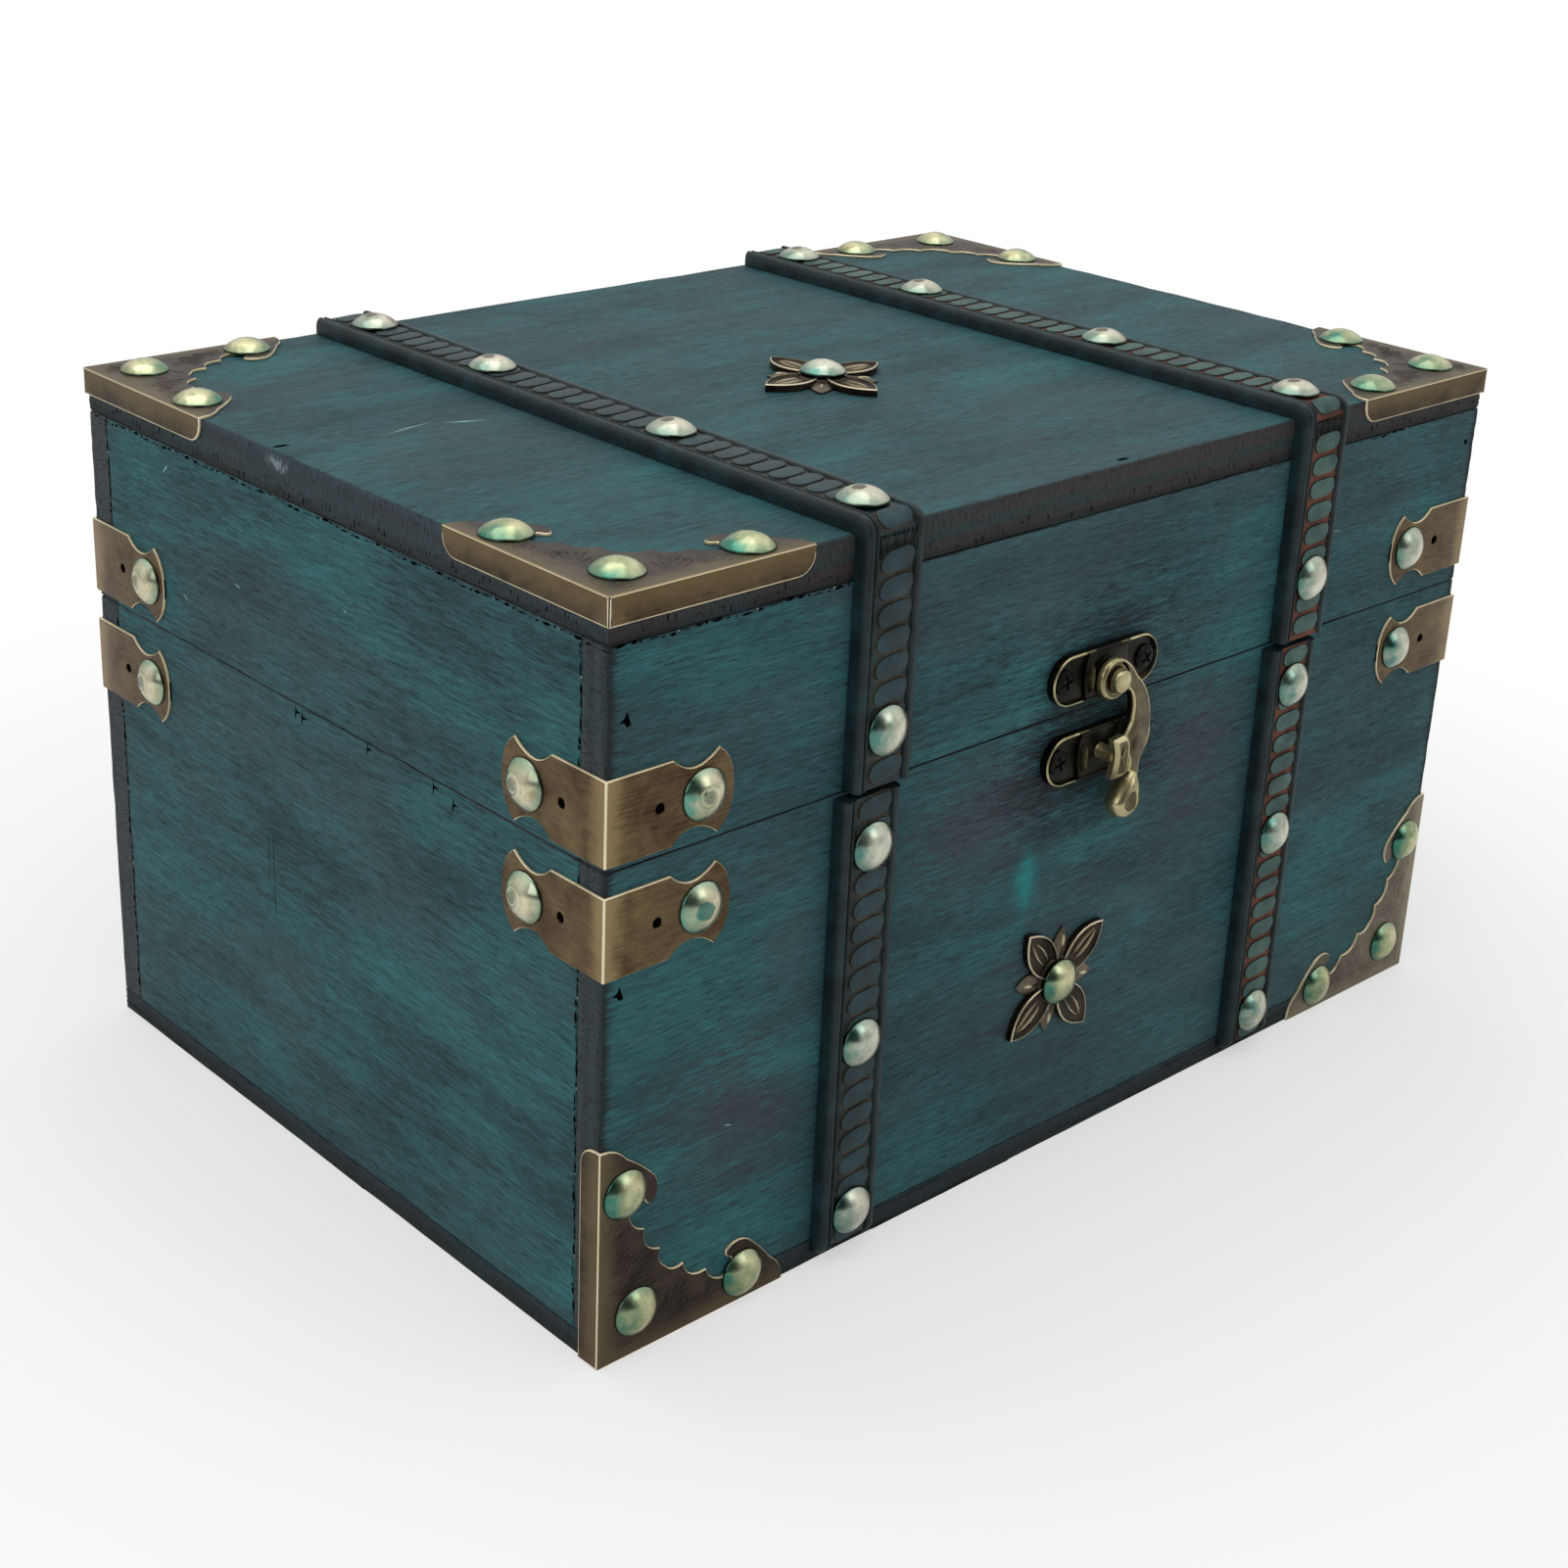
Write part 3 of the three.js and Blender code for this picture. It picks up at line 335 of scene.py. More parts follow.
    rough = add_node(tree, "MapRange",
                     {"Value": fine, "From Min": 0.3, "From Max": 0.7, "To Min": 0.66, "To Max": 0.5})
    bump = add_node(tree, "Bump", {"Height": fine, "Strength": 0.6, "Distance": 0.2 * mm})
    shader = add_node(tree, "BsdfPrincipled",
                      {"Base Color": face.outputs[2], "Roughness": rough, "Normal": bump,
                       "Specular IOR Level": 0.14})
    add_node(tree, "OutputMaterial", {"Surface": shader})
    return material


# Where the top board's edge on the left is scuffed pale
scuffed_spot = Vector((box_low.x, 13 * mm, 146.6 * mm))


def ply_edge(name, across, along, low, high, codes):
    """Sawn plywood edge, scorched and stained. The plies lie between two levels of the axis
    they are stacked on, each with its own colour, and are torn and hatched by the saw."""
    material = bpy.data.materials.new(name)
    tree = empty_tree(material)
    where = add_node(tree, "TexCoord").outputs["Object"]
    hair_scale = [1 / (0.45 * mm)] * 3
    hair_scale[across] = 1 / (1.6 * mm)
    hairs = add_node(tree, "Mapping", {"Vector": where, "Scale": hair_scale})
    hair = add_node(tree, "TexNoise", {"Vector": hairs, "Scale": 1, "Detail": 3, "Roughness": 0.7})
    long_scale = [1 / (1.2 * mm)] * 3
    long_scale[along] = 1 / (26 * mm)
    longs = add_node(tree, "Mapping", {"Vector": where, "Scale": long_scale})
    wander = add_node(tree, "TexNoise", {"Vector": longs, "Scale": 1, "Detail": 4, "Roughness": 0.6})
    tint = add_node(tree, "TexNoise", {"Vector": where, "Scale": 1 / (20 * mm), "Detail": 4})
    place = add_node(tree, "SeparateXYZ", {0: where}).outputs[across]
    share = add_node(tree, "MapRange", {"Value": place, "From Min": low, "From Max": high})
    shifted = add_node(tree, "Math", {0: wander, 1: 0.5, 2: share}, operation="MULTIPLY_ADD")
    level = add_node(tree, "Math", {0: shifted, 1: 0.25}, operation="SUBTRACT")
    plies = add_node(tree, "ValToRGB", {0: level})
    ramp = plies.color_ramp
    ramp.elements[0].position, ramp.elements[0].color = 0.06, paint(codes[0])
    ramp.elements[1].position, ramp.elements[1].color = 0.94, paint(codes[-1])
    for i, code in enumerate(codes[1:-1]):
        ramp.elements.new(0.06 + 0.88 * (i + 1) / (len(codes) - 1)).color = paint(code)
    teal = add_node(tree, "MapRange",
                    {"Value": tint, "From Min": 0.5, "From Max": 0.72, "To Min": 0, "To Max": 0.6})
    stained = add_node(tree, "Mix", {0: teal, 6: plies, 7: paint("#1f3b3f")}, data_type="RGBA")
    cracks = add_node(tree, "MapRange",
                      {"Value": hair, "From Min": 0.4, "From Max": 0.49, "To Min": 0.65, "To Max": 0})
    hatched = add_node(tree, "Mix", {0: cracks, 6: stained.outputs[2], 7: paint("#0e1011")},
                       data_type="RGBA")
    spot = add_node(tree, "VectorMath", {0: where, 1: scuffed_spot}, operation="SUBTRACT")
    spot = add_node(tree, "VectorMath", {0: spot, 1: (1, 0.5, 1.2)}, operation="MULTIPLY")
    spot = add_node(tree, "VectorMath", {0: spot}, operation="LENGTH")
    spot = add_node(tree, "Math", {0: hair, 1: 9 * mm, 2: spot.outputs["Value"]},
                    operation="MULTIPLY_ADD")
    bare = add_node(tree, "MapRange",
                    {"Value": spot, "From Min": 4.4 * mm, "From Max": 6.2 * mm, "To Min": 0.6,
                     "To Max": 0})
    scuffed = add_node(tree, "Mix", {0: bare, 6: hatched.outputs[2], 7: paint("#9fb0b4")},
                       data_type="RGBA")
    bump = add_node(tree, "Bump", {"Height": hair, "Strength": 1, "Distance": 0.4 * mm})
    shader = add_node(tree, "BsdfPrincipled",
                      {"Base Color": scuffed.outputs[2], "Roughness": 0.7, "Normal": bump,
                       "Specular IOR Level": 0.3})
    add_node(tree, "OutputMaterial", {"Surface": shader})
    return material


axis_x, axis_y, axis_z = 0, 1, 2
face_grain_x = stained_face("Teal stained plywood, grain along the front", axis_x, 2.6, 0.45)
face_grain_y = stained_face("Teal stained plywood, grain along the ends", axis_y, 2.6, 0.3)
top_grain_x = stained_face("Teal stained plywood lid, grain along the front", axis_x, 1.1, 0.4)
end_grain = ply_edge("Scorched plywood end grain, upright plies", axis_y, axis_z, -0.085, -0.078,
                     ("#20282b", "#364344", "#293135", "#3d4447"))
top_edge = ply_edge("Scorched edge of the top board", axis_z, axis_x, lid_joint_height, box_high.z,
                    ("#131517", "#332b2c", "#253637", "#3b3634", "#343234"))
top_edge_end = ply_edge("Stained end of the top board", axis_z, axis_y, lid_joint_height, box_high.z,
                        ("#15191b", "#27353a", "#2f3e43", "#2b373c", "#34434a"))
bottom_edge = ply_edge("Scorched edge of the bottom board", axis_z, axis_x, box_low.z, box_low.z + 5 * mm,
                       ("#1f2629", "#1b2629", "#2a363a"))


def fit(piece, name, body, slot, *nodes):
    """Names a finished piece, ties it to its body and hides the parts it stands for. The slot it is given
    is not used.
    """
    piece.name = name
    piece.data.name = name
    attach(piece, body)
    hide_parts(*nodes)
    bpy.ops.object.select_all(action="DESELECT")


def edit_all():
    """Opens the active piece for editing, with all of it selected."""
    bpy.ops.object.mode_set(mode="EDIT")
    bpy.ops.mesh.select_all(action="SELECT")


def edit_done():
    bpy.ops.object.mode_set(mode="OBJECT")


def board(node, body, face, edges, seed):
    """A board cut to the node's size, with slightly uneven faces and rounded edges. Faces
    square to the axes in edges show the plies, each with its own finish."""
    low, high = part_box(node)
    if abs(high.z - seam_height) < 1 * mm:
        high.z = seam_height - seam_gap / 2
    if abs(low.z - seam_height) < 1 * mm:
        low.z = seam_height + seam_gap / 2
    bpy.ops.mesh.primitive_cube_add(size=1, location=(low + high) / 2, scale=high - low)
    piece = bpy.context.object
    bpy.ops.object.transform_apply(location=True, rotation=True, scale=True)
    edit_all()
    bpy.ops.mesh.subdivide(number_cuts=board_cuts)
    bpy.ops.transform.vertex_random(offset=board_wobble, normal=1, seed=seed)
    bpy.ops.mesh.select_all(action="DESELECT")
    bpy.ops.mesh.edges_select_sharp(sharpness=math.radians(50))
    bpy.ops.mesh.bevel(offset=board_rounding, segments=3, affect="EDGES")
    edit_done()
    for vertex in piece.data.vertices:
        vertex.co = [min(max(c, a), b) for c, a, b in zip(vertex.co, low, high)]
    piece.data.materials.append(face)
    for i, (axis, edge) in enumerate(edges.items()):
        piece.data.materials.append(edge)
        for polygon in piece.data.polygons:
            if abs(polygon.normal[axis]) > 0.4:
                polygon.material_index = i + 1
    bpy.ops.object.shade_smooth_by_angle(angle=math.radians(40))
    fit(piece, node + "_board", body, "stained_wood", node)


long_edges = {axis_x: end_grain, axis_z: end_grain}
for part, front, end in (("base", "panel", "end"), ("lid", "rail", "rail")):
    board(f"{part}_front_{front}", part, face_grain_x, long_edges, 1)
    board(f"{part}_back_{front}", part, face_grain_x, long_edges, 2)
    board(f"{part}_left_{end}", part, face_grain_y, {axis_z: end_grain}, 3)
    board(f"{part}_right_{end}", part, face_grain_y, {axis_z: end_grain}, 4)
board("base_bottom_panel", "base", face_grain_x, {axis_x: bottom_edge, axis_y: bottom_edge}, 5)
board("lid_top_panel", "lid", top_grain_x, {axis_x: top_edge_end, axis_y: top_edge}, 6)


# Small marks: sunk brads along the lid's edges, chips that were stained over black, torn
# joints and scratches that show pale.
def plain_paint(name, code):
    """One flat colour without shine."""
    material = bpy.data.materials.new(name)
    tree = empty_tree(material)
    coat = add_node(tree, "BsdfDiffuse", {"Color": paint(code), "Roughness": 0.8})
    add_node(tree, "OutputMaterial", {"Surface": coat})
    return material


black_marks_and_painted_shade = plain_paint("Dark hole filled with stain", "#050606")
mark_pale = plain_paint("Scratch down to pale wood", "#86a5a6")
mark_white = plain_paint("Chip down to bare birch", "#8e9a9c")
# Faces of the box: the way to the right, the way up and a point of the face
box_faces = {
    "front": ((1, 0, 0), (0, 0, 1), (0, box_low.y, 0)),
    "back": ((-1, 0, 0), (0, 0, 1), (0, box_high.y, 0)),
    "left": ((0, -1, 0), (0, 0, 1), (box_low.x, 0, 0)),
    "right": ((0, 1, 0), (0, 0, 1), (box_high.x, 0, 0)),
    "top": ((1, 0, 0), (0, 1, 0), (0, 0, box_high.z)),
}


def on_face(side, x, y, out=0):
    """A place on a face of the box: x runs to its right, y up it and z out of it."""
    right, up, origin = (Vector(v) for v in box_faces[side])
    away = right.cross(up)
    place = origin + right * x + up * y + away * out
    return Matrix.Translation(place) @ Matrix((right, up, away)).transposed().to_4x4()


def ring(points, height=0):
    """A filled ring with its corners at the given places, in millimetres."""
    bpy.ops.object.select_all(action="DESELECT")
    bpy.ops.mesh.primitive_circle_add(vertices=len(points), fill_type="NGON")
    made = bpy.context.object
    for vertex, (x, y) in zip(made.data.vertices, points):
        vertex.co = (x * mm, y * mm, height * mm)
    return made


def outward(piece):
    """Merges doubles and turns all the faces out."""
    edit_all()
    bpy.ops.mesh.remove_doubles(threshold=0.001 * mm)
    bpy.ops.mesh.normals_make_consistent(inside=False)
    edit_done()
    return piece


def flat_plate(points, low, high):
    """A solid of one thickness, from low to high over the wood, in millimetres."""
    piece = ring(points, low)
    edit_all()
    bpy.ops.mesh.extrude_region_move(TRANSFORM_OT_translate={"value": (0, 0, (high - low) * mm)})
    edit_done()
    return outward(piece)


def joined(pieces):
    bpy.ops.object.select_all(action="DESELECT")
    for piece in pieces:
        piece.select_set(True)
    bpy.context.view_layer.objects.active = pieces[0]
    bpy.ops.object.join()
    return bpy.context.object


def add_marks(name, body, node, marks):
    """Thin splashes, each a ragged outline in millimetres with a material at a place."""
    made = []
    for material, side, x, y, outline in marks:
        splash = flat_plate(outline, -0.05, 0.02)
        splash.data.transform(on_face(side, x * mm, y * mm))
        splash.data.materials.append(material)
        made.append(splash)
    fit(joined(made), name, body, "stained_wood", node)


def scratch(length, width, rise):
    """A hair of a scratch that climbs by so much along its length."""
    return [(0, 0), (length / 2, rise * 0.7 - width), (length, rise), (length / 2, rise * 0.4 + width)]


def torn_joint(side, start, height, length, seed, standing=False):
    """A joint where the wood tore: dark splinters in a row, with an odd pale fleck."""
    marks = []
    run = 0
    while run < length:
        i = len(marks)
        long = 1.7 + 1.2 * math.sin(seed + i * 2.3)
        tall = 0.22 + 0.12 * math.sin(seed + i * 1.3)
        lift = 0.24 * math.sin(seed + i * 0.7)
        splinter = [(0, lift), (long * 0.4, lift - tall), (long, lift), (long * 0.6, lift + tall)]
        if standing:
            marks.append((black_marks_and_painted_shade, side, start, height + run, [(-y, x) for x, y in splinter]))
        else:
            marks.append((black_marks_and_painted_shade, side, start + run, height, splinter))
        run += long + 0.5 + 0.5 * math.sin(seed + i * 3.1)
        if i % 9 == 5:
            x, y = (start, height + run) if standing else (start + run, height)
            marks.append((mark_white, side, x, y, [(0, 0), (0.35, -0.1), (0.4, 0.25), (0.1, 0.3)]))
    return marks


brad = [(1.9, -0.3), (0.9, 0.5), (-0.4, 0.55), (-1.7, 0.2), (-0.9, -0.4), (0.5, -0.55)]
small_chip = [(1, -1.2), (0.4, 0.5), (0.2, 1.4), (-0.4, 0.3), (-1.5, -0.4), (-0.5, -0.5), (0.1, -1.4)]
tear = [(0, 1.7), (0.2, 0.5), (1.7, 0.3), (0.2, -0.1), (-0.4, -1.6), (-0.15, 0.4)]
small_brad = [(0.6 * math.cos(math.radians(60 * i)), 0.6 * math.sin(math.radians(60 * i)))
              for i in range(6)]
add_marks("lid_front_marks", "lid", "lid_front_rail", [
    (black_marks_and_painted_shade, "front", -121, 126.7, small_chip), (black_marks_and_painted_shade, "front", 121.7, 132.8, small_brad),
    (mark_pale, "front", -88, 119, scratch(2.4, 0.09, 0.5)),
    (mark_pale, "front", 74, 121, scratch(3, 0.08, -0.4)),
    *torn_joint("front", -124, 139.7, 53, 1), *torn_joint("front", 84, 139.8, 12, 4),
])
add_marks("base_front_marks", "base", "base_front_panel", [
    (black_marks_and_painted_shade, "front", -121.5, 75.9, small_chip), (black_marks_and_painted_shade, "front", 121.2, 4.5, small_brad),
    (mark_pale, "front", 16, 84, scratch(1.6, 0.1, 1.1)),
    (mark_pale, "front", -96, 40, scratch(2, 0.08, -0.6)),
])
add_marks("lid_top_marks", "lid", "lid_top_panel", [
    (black_marks_and_painted_shade, "top", -53.4, -83.2, brad), (black_marks_and_painted_shade, "top", 4.1, -82.4, brad),
    (black_marks_and_painted_shade, "top", -122, 16.5, brad), (mark_pale, "top", -102.7, 11.3, scratch(13.5, 0.12, 2.6)),
    (mark_pale, "top", -88, 12, scratch(8, 0.08, -3)),
])
add_marks("lid_left_marks", "lid", "lid_left_rail", [
    (mark_pale, "left", -56, 133.8, scratch(2.4, 0.07, 2.3)),
    (mark_pale, "left", -30, 118, scratch(2, 0.08, -0.5)),
    (mark_pale, "left", -50, 110, scratch(1.4, 0.07, -1)),
    (mark_pale, "left", 8, 124, scratch(1.2, 0.07, -0.6)),
    *torn_joint("left", -83, 139.5, 166, 3), *torn_joint("left", 77.8, 101, 38, 2, standing=True),
    *torn_joint("left", -78.2, 101, 38, 8, standing=True),
])
add_marks("base_left_marks", "base", "base_left_end", [
    *torn_joint("left", 77.8, 8, 88, 5, standing=True),
    *torn_joint("left", -78.2, 8, 88, 1, standing=True),
    (black_marks_and_painted_shade, "left", -9.4, 97.6, tear), (black_marks_and_painted_shade, "left", -7.2, 97, tear),
    (black_marks_and_painted_shade, "left", 15, 98.2, tear), (black_marks_and_painted_shade, "left", 36, 98, tear),
    (black_marks_and_painted_shade, "left", 42, 96.6, tear),
    (black_marks_and_painted_shade, "left", -19.4, 50, [(0, 0), (0.06, 9), (0, 18), (-0.06, 8)]),
    (black_marks_and_painted_shade, "left", -21.2, 56, [(0, 0), (0.05, 5), (0, 11), (-0.05, 4)]),
])
for i, side in enumerate(("front", "left")):
    hatches = []
    for k in range(60):
        x = (-118 + 4.1 * k) if side == "front" else (-76 + 2.6 * k)
        x += 1.4 * math.sin(k * 2.1 + i)
        tall = 0.9 + 0.5 * math.sin(k * 1.7)
        tick = [(0, 0), (0.16 + 0.05 * math.sin(k), 0.1), (0.12, tall), (-0.06, tall * 0.8)]
        hatches.append((black_marks_and_painted_shade, side, x, 141.4 + 0.8 * math.sin(k * 0.9), tick))
    add_marks(f"lid_top_{side}_hatches", "lid", "lid_top_panel", hatches)

# Straps: strips of embossed imitation leather glued round the box. Each has rolled rims and
# a band of padded blocks between coloured grooves, and is bent over the lid's front edge.
strap_glue = 0.1 * mm
strap_thickness = 3.6 * mm
block_pitch = 5 * mm
block_rise = 0.32 * mm
band_floor = 2.95 * mm
band_middle = 0.3 * mm
band_half = 4.6 * mm
# Cross-section: distance from the middle and height over the wood, in millimetres
strap_section = [
    (-7.25, 0), (-7.25, 1.7), (-7.1, 2.7), (-6.75, 3.3), (-6.2, 3.6), (-5.8, 3.5), (-5.65, 2.8),
    (-5.4, 2.8), (-5.2, 3.4), (-4.95, 3.55), (-4.7, 3.4), (-4.5, 2.95), (4.95, 2.95), (5.1, 3.35),
    (5.35, 3.5), (5.9, 3.5), (6.5, 3.3), (7, 2.7), (7.25, 1.7), (7.25, 0),
]


def imitation_leather(name, codes, roughness):
    """Embossed vinyl with a fine leather grain in its bump, and dye that varies in clouds between three
    tones."""
    material = bpy.data.materials.new(name)
    tree = empty_tree(material)
    where = add_node(tree, "TexCoord").outputs["Object"]
    pores = add_node(tree, "TexVoronoi", {"Vector": where, "Scale": 1 / (0.55 * mm)})
    clouds = add_node(tree, "TexNoise",
                      {"Vector": where, "Scale": 1 / (6 * mm), "Detail": 5, "Roughness": 0.65})
    colour = add_node(tree, "ValToRGB", {0: clouds})
    ramp = colour.color_ramp
    ramp.elements[0].position, ramp.elements[0].color = 0.34, paint(codes[0])
    ramp.elements[1].position, ramp.elements[1].color = 0.66, paint(codes[2])
    ramp.elements.new(0.5).color = paint(codes[1])
    bump = add_node(tree, "Bump",
                    {"Height": pores.outputs["Distance"], "Strength": 0.25, "Distance": 0.12 * mm})
    shader = add_node(tree, "BsdfPrincipled",
                      {"Base Color": colour, "Roughness": roughness, "Normal": bump,
                       "Specular IOR Level": 0.3})
    add_node(tree, "OutputMaterial", {"Surface": shader})
    return material


strap_skin = imitation_leather("Embossed vinyl strap, slate teal", ("#0b181b", "#132427", "#1b3235"),
                               0.42)
slate_blocks = imitation_leather("Padded vinyl blocks, slate", ("#13262a", "#1b3136", "#243f43"), 0.5)
teal_blocks = imitation_leather("Padded vinyl blocks, rubbed teal", ("#28403f", "#385450", "#4a655d"),
                                0.55)
rust_groove = imitation_leather("Vinyl grooves, rust dye", ("#3a231b", "#5c3425", "#6d4331"), 0.7)
olive_groove = imitation_leather("Vinyl grooves, olive brown dye", ("#2c251e", "#43382b", "#574936"), 0.7)
dark_cracks_and_painted_shade = imitation_leather("Cracked vinyl at the bend, and painted shade in creases", ("#0b0e0f", "#15191b", "#2a3133"), 0.8)


def copied(pattern, place):
    """A copy of a modelled pattern, with its own mesh, at a place."""
    made = pattern.copy()
    made.data = pattern.data.copy()
    made.data.transform(place)
    bpy.context.collection.objects.link(made)
    return made


def drop(*patterns):
    for pattern in patterns:
        bpy.data.objects.remove(pattern)


def stadium(length, width, steps):
    """Outline of a bar with round ends along x, in the unit of its sizes."""
    radius = width / 2
    middle = length / 2 - radius
    turns = [math.pi * (i / steps - 0.5) for i in range(steps + 1)]
    right = [(middle + radius * math.cos(t), radius * math.sin(t)) for t in turns]
    return right + [(-x, -y) for x, y in right]


def bends(start, moves, steps=5):
    """A line of soft bends from a start. Each move gives the point that pulls and the end."""
    points = [start]
    for pull, end in moves:
        first = points[-1]
        for i in range(1, steps + 1):
            t = i / steps
            points.append(tuple(
                (1 - t) ** 2 * a + 2 * t * (1 - t) * b + t ** 2 * c for a, b, c in zip(first, pull, end)
            ))
    return points


def padded_block(width, length, slant, dye, skin):
    """One padded block of the band with its round corners, on a thin dyed outline. Its raised side walls
    are dark, as painted shade at its foot.
    """
    outline = [(x, y + slant * x) for x, y in stadium(width, length, 5)]
    piece = ring(outline)
    edit_all()
    bpy.ops.mesh.extrude_region_move(TRANSFORM_OT_translate={"value": (0, 0, 0.06 * mm)})
    bpy.ops.mesh.inset(thickness=0.26 * mm)
    bpy.ops.mesh.inset(thickness=0.14 * mm, depth=block_rise)
    bpy.ops.mesh.inset(thickness=0.4 * mm, depth=0.08 * mm)
    edit_done()
    outward(piece)
    piece.data.materials.append(dye)
    piece.data.materials.append(skin)
    piece.data.materials.append(dark_cracks_and_painted_shade)
    # The raised side walls are dark: painted shade at the foot of the block
    for polygon in piece.data.polygons:
        raised = polygon.center.z > 0.1 * mm
        polygon.material_index = (1 if polygon.normal.z > 0.75 else 2) if raised else 0
    # A dark line beside the blocks, at the foot of the band's right rim, waves with them
    far = width / 2 - 0.25
    bow = bends((far, -length / 2 - 0.03), [((far + 0.75, -0.3), (far, length / 2 + 0.03))], 8)
    dark_wave = flat_plate(bow + [(x - 0.24, y) for x, y in reversed(bow)], 0, 0.12)
    dark_wave.data.materials.append(dark_cracks_and_painted_shade)
    piece = joined([piece, dark_wave])
    bpy.ops.object.shade_smooth_by_angle(angle=math.radians(50))
    return piece


def upright(x, y, z):
    """A place on the front: what lies flat in x and y then stands, facing the front."""
    return Matrix.Translation((x, y, z)) @ Matrix.Rotation(math.radians(90), 4, "X")


def strap_strip(points, first_place, moves):
    """Draws the cross-section out into a strip by straight pulls and quarter turns."""
    piece = ring(points)
    piece.data.transform(first_place)
    edit_all()
    for kind, value in moves:
        if kind == "pull":
            bpy.ops.mesh.extrude_region_move(TRANSFORM_OT_translate={"value": value})
        else:
            centre, angle, steps = value
            for _ in range(steps):
                bpy.ops.mesh.extrude_region_move()
                bpy.ops.transform.rotate(value=angle / steps, orient_axis="X", center_override=centre)
    edit_done()
    return outward(piece)


def pick_alone(piece):
    bpy.ops.object.select_all(action="DESELECT")
    piece.select_set(True)
    bpy.context.view_layer.objects.active = piece


def dress_strap(piece, floor, centre_of_bend, sign):
    """Gives the band's floor its own colour and the rest the strap's skin. The groove by the left rim is
    painted dark as shade, and the cracked floor over the lid's front edge is dark. The bend's centre
    tells what is out, and the sign whether the bend is at the top or at the bottom."""
    for material in (strap_skin, floor, dark_cracks_and_painted_shade):
        piece.data.materials.append(material)
    for polygon in piece.data.polygons:
        away = polygon.center - centre_of_bend
        away.x = 0
        if away.y > 0:
            away.y = 0
        if away.z * sign < 0:
            away.z = 0
        across = (polygon.center.x - centre_of_bend.x) / mm
        faces_out = away.length > 2 * mm and polygon.normal.dot(away.normalized()) > 0.7
        if faces_out and abs(across - band_middle / mm) < band_half / mm - 0.1:
            polygon.material_index = 1
        # The groove by the left rim: painted shade
        elif -5.75 < across < -5.3:
            polygon.material_index = 2
        if polygon.material_index == 1 and away.y < -0.05 * mm and away.z > 1.2 * mm:
            polygon.material_index = 2
    pick_alone(piece)
    bpy.ops.object.shade_smooth_by_angle(angle=math.radians(50))


def bent_block(block, centre, angle):
    """A block that lies round the strap's bend, its middle turned forward by the angle."""
    made = copied(block, Matrix.Identity(4))
    for vertex in made.data.vertices:
        turn = angle - vertex.co.y / band_floor
        reach = band_floor + vertex.co.z
        vertex.co.y = centre.y - reach * math.sin(turn)
        vertex.co.z = centre.z + reach * math.cos(turn)
        vertex.co.x += centre.x + band_middle
    return made


def cracked_bend(middle, edge_y, edge_z):
    """Short dark fibres where the vinyl has cracked over the lid's front edge."""
    fibres = []
    for i in range(17):
        length = 3.6 + 1.4 * math.sin(i * 2.3)
        width = 0.5 + 0.16 * math.sin(i * 1.7)
        fibre = flat_plate([(-width / 2, 0), (0, -length), (width / 2, 0), (0, 0.7)], 0, 0.32)
        drop_by = 0.9 + 0.6 * math.sin(i * 3.1)
        x = middle + (i * 0.56 - 4.2) * mm
        fibre.data.transform(upright(x, edge_y, edge_z - drop_by * mm))
        fibre.data.materials.append(dark_cracks_and_painted_shade)
        fibres.append(fibre)
    return fibres


strap_looks = {
    "left": {"floor": strap_skin, "dye": olive_groove, "skin": slate_blocks, "length": 4.9,
             "slant": 0.1},
    "right": {"floor": rust_groove, "dye": rust_groove, "skin": teal_blocks, "length": 4.6,
              "slant": 0.04},
}
front_face = box_low.y - strap_glue
top_face = box_high.z + strap_glue
quarter = math.radians(90)

for side, look in strap_looks.items():
    low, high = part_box(f"lid_strap_{side}")
    middle = (low.x + high.x) / 2
    foot = low.z
    bend = Vector((middle, front_face, top_face))
    start = Matrix.Translation((middle, high.y, top_face)) @ Matrix.Rotation(quarter, 4, "X")
    lid_strip = strap_strip(strap_section, start, [
        ("pull", (0, front_face - high.y, 0)),
        ("turn", (bend, -quarter, 8)),
        ("pull", (0, 0, foot - top_face)),
    ])
    dress_strap(lid_strip, look["floor"], bend, 1)

    low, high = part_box(f"base_strap_{side}")
    base_middle = (low.x + high.x) / 2
    base_top = high.z
    bend = Vector((base_middle, front_face, low.z + strap_thickness))
    start = Matrix.Translation((base_middle, front_face, base_top)) @ Matrix.Rotation(math.pi, 4, "X")
    base_strip = strap_strip(strap_section, start, [
        ("pull", (0, 0, bend.z - base_top)),
        ("turn", (bend, -quarter, 8)),
    ])
    dress_strap(base_strip, look["floor"], bend, -1)

    block = padded_block(9.1, look["length"], look["slant"], look["dye"], look["skin"])
    blocks = cracked_bend(middle + band_middle, front_face - band_floor, top_face)
    lid_bend = Vector((middle, front_face, top_face))
    blocks.append(bent_block(block, lid_bend, math.radians(32)))
    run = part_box(f"lid_strap_{side}")[1].y - 3 * mm
    while run > front_face + 3 * mm:
        place = Matrix.Translation((middle + band_middle, run, top_face + band_floor))
        blocks.append(copied(block, place))
        run -= block_pitch
    run = top_face - 5.2 * mm
    while run > foot + 2 * mm:
        blocks.append(copied(block, upright(middle + band_middle, front_face - band_floor, run)))
        run -= block_pitch
    lid_strap = joined([lid_strip, *blocks])
    fit(lid_strap, f"lid_strap_{side}_band", "lid", "embossed_strap", f"lid_strap_{side}")
    blocks = []
    run = base_top - 2.4 * mm
    while run > bend.z:
        blocks.append(copied(block, upright(base_middle + band_middle, front_face - band_floor, run)))
        run -= block_pitch
    base_strap = joined([base_strip, *blocks])
    fit(base_strap, f"base_strap_{side}_band", "base", "embossed_strap", f"base_strap_{side}")
    drop(block)

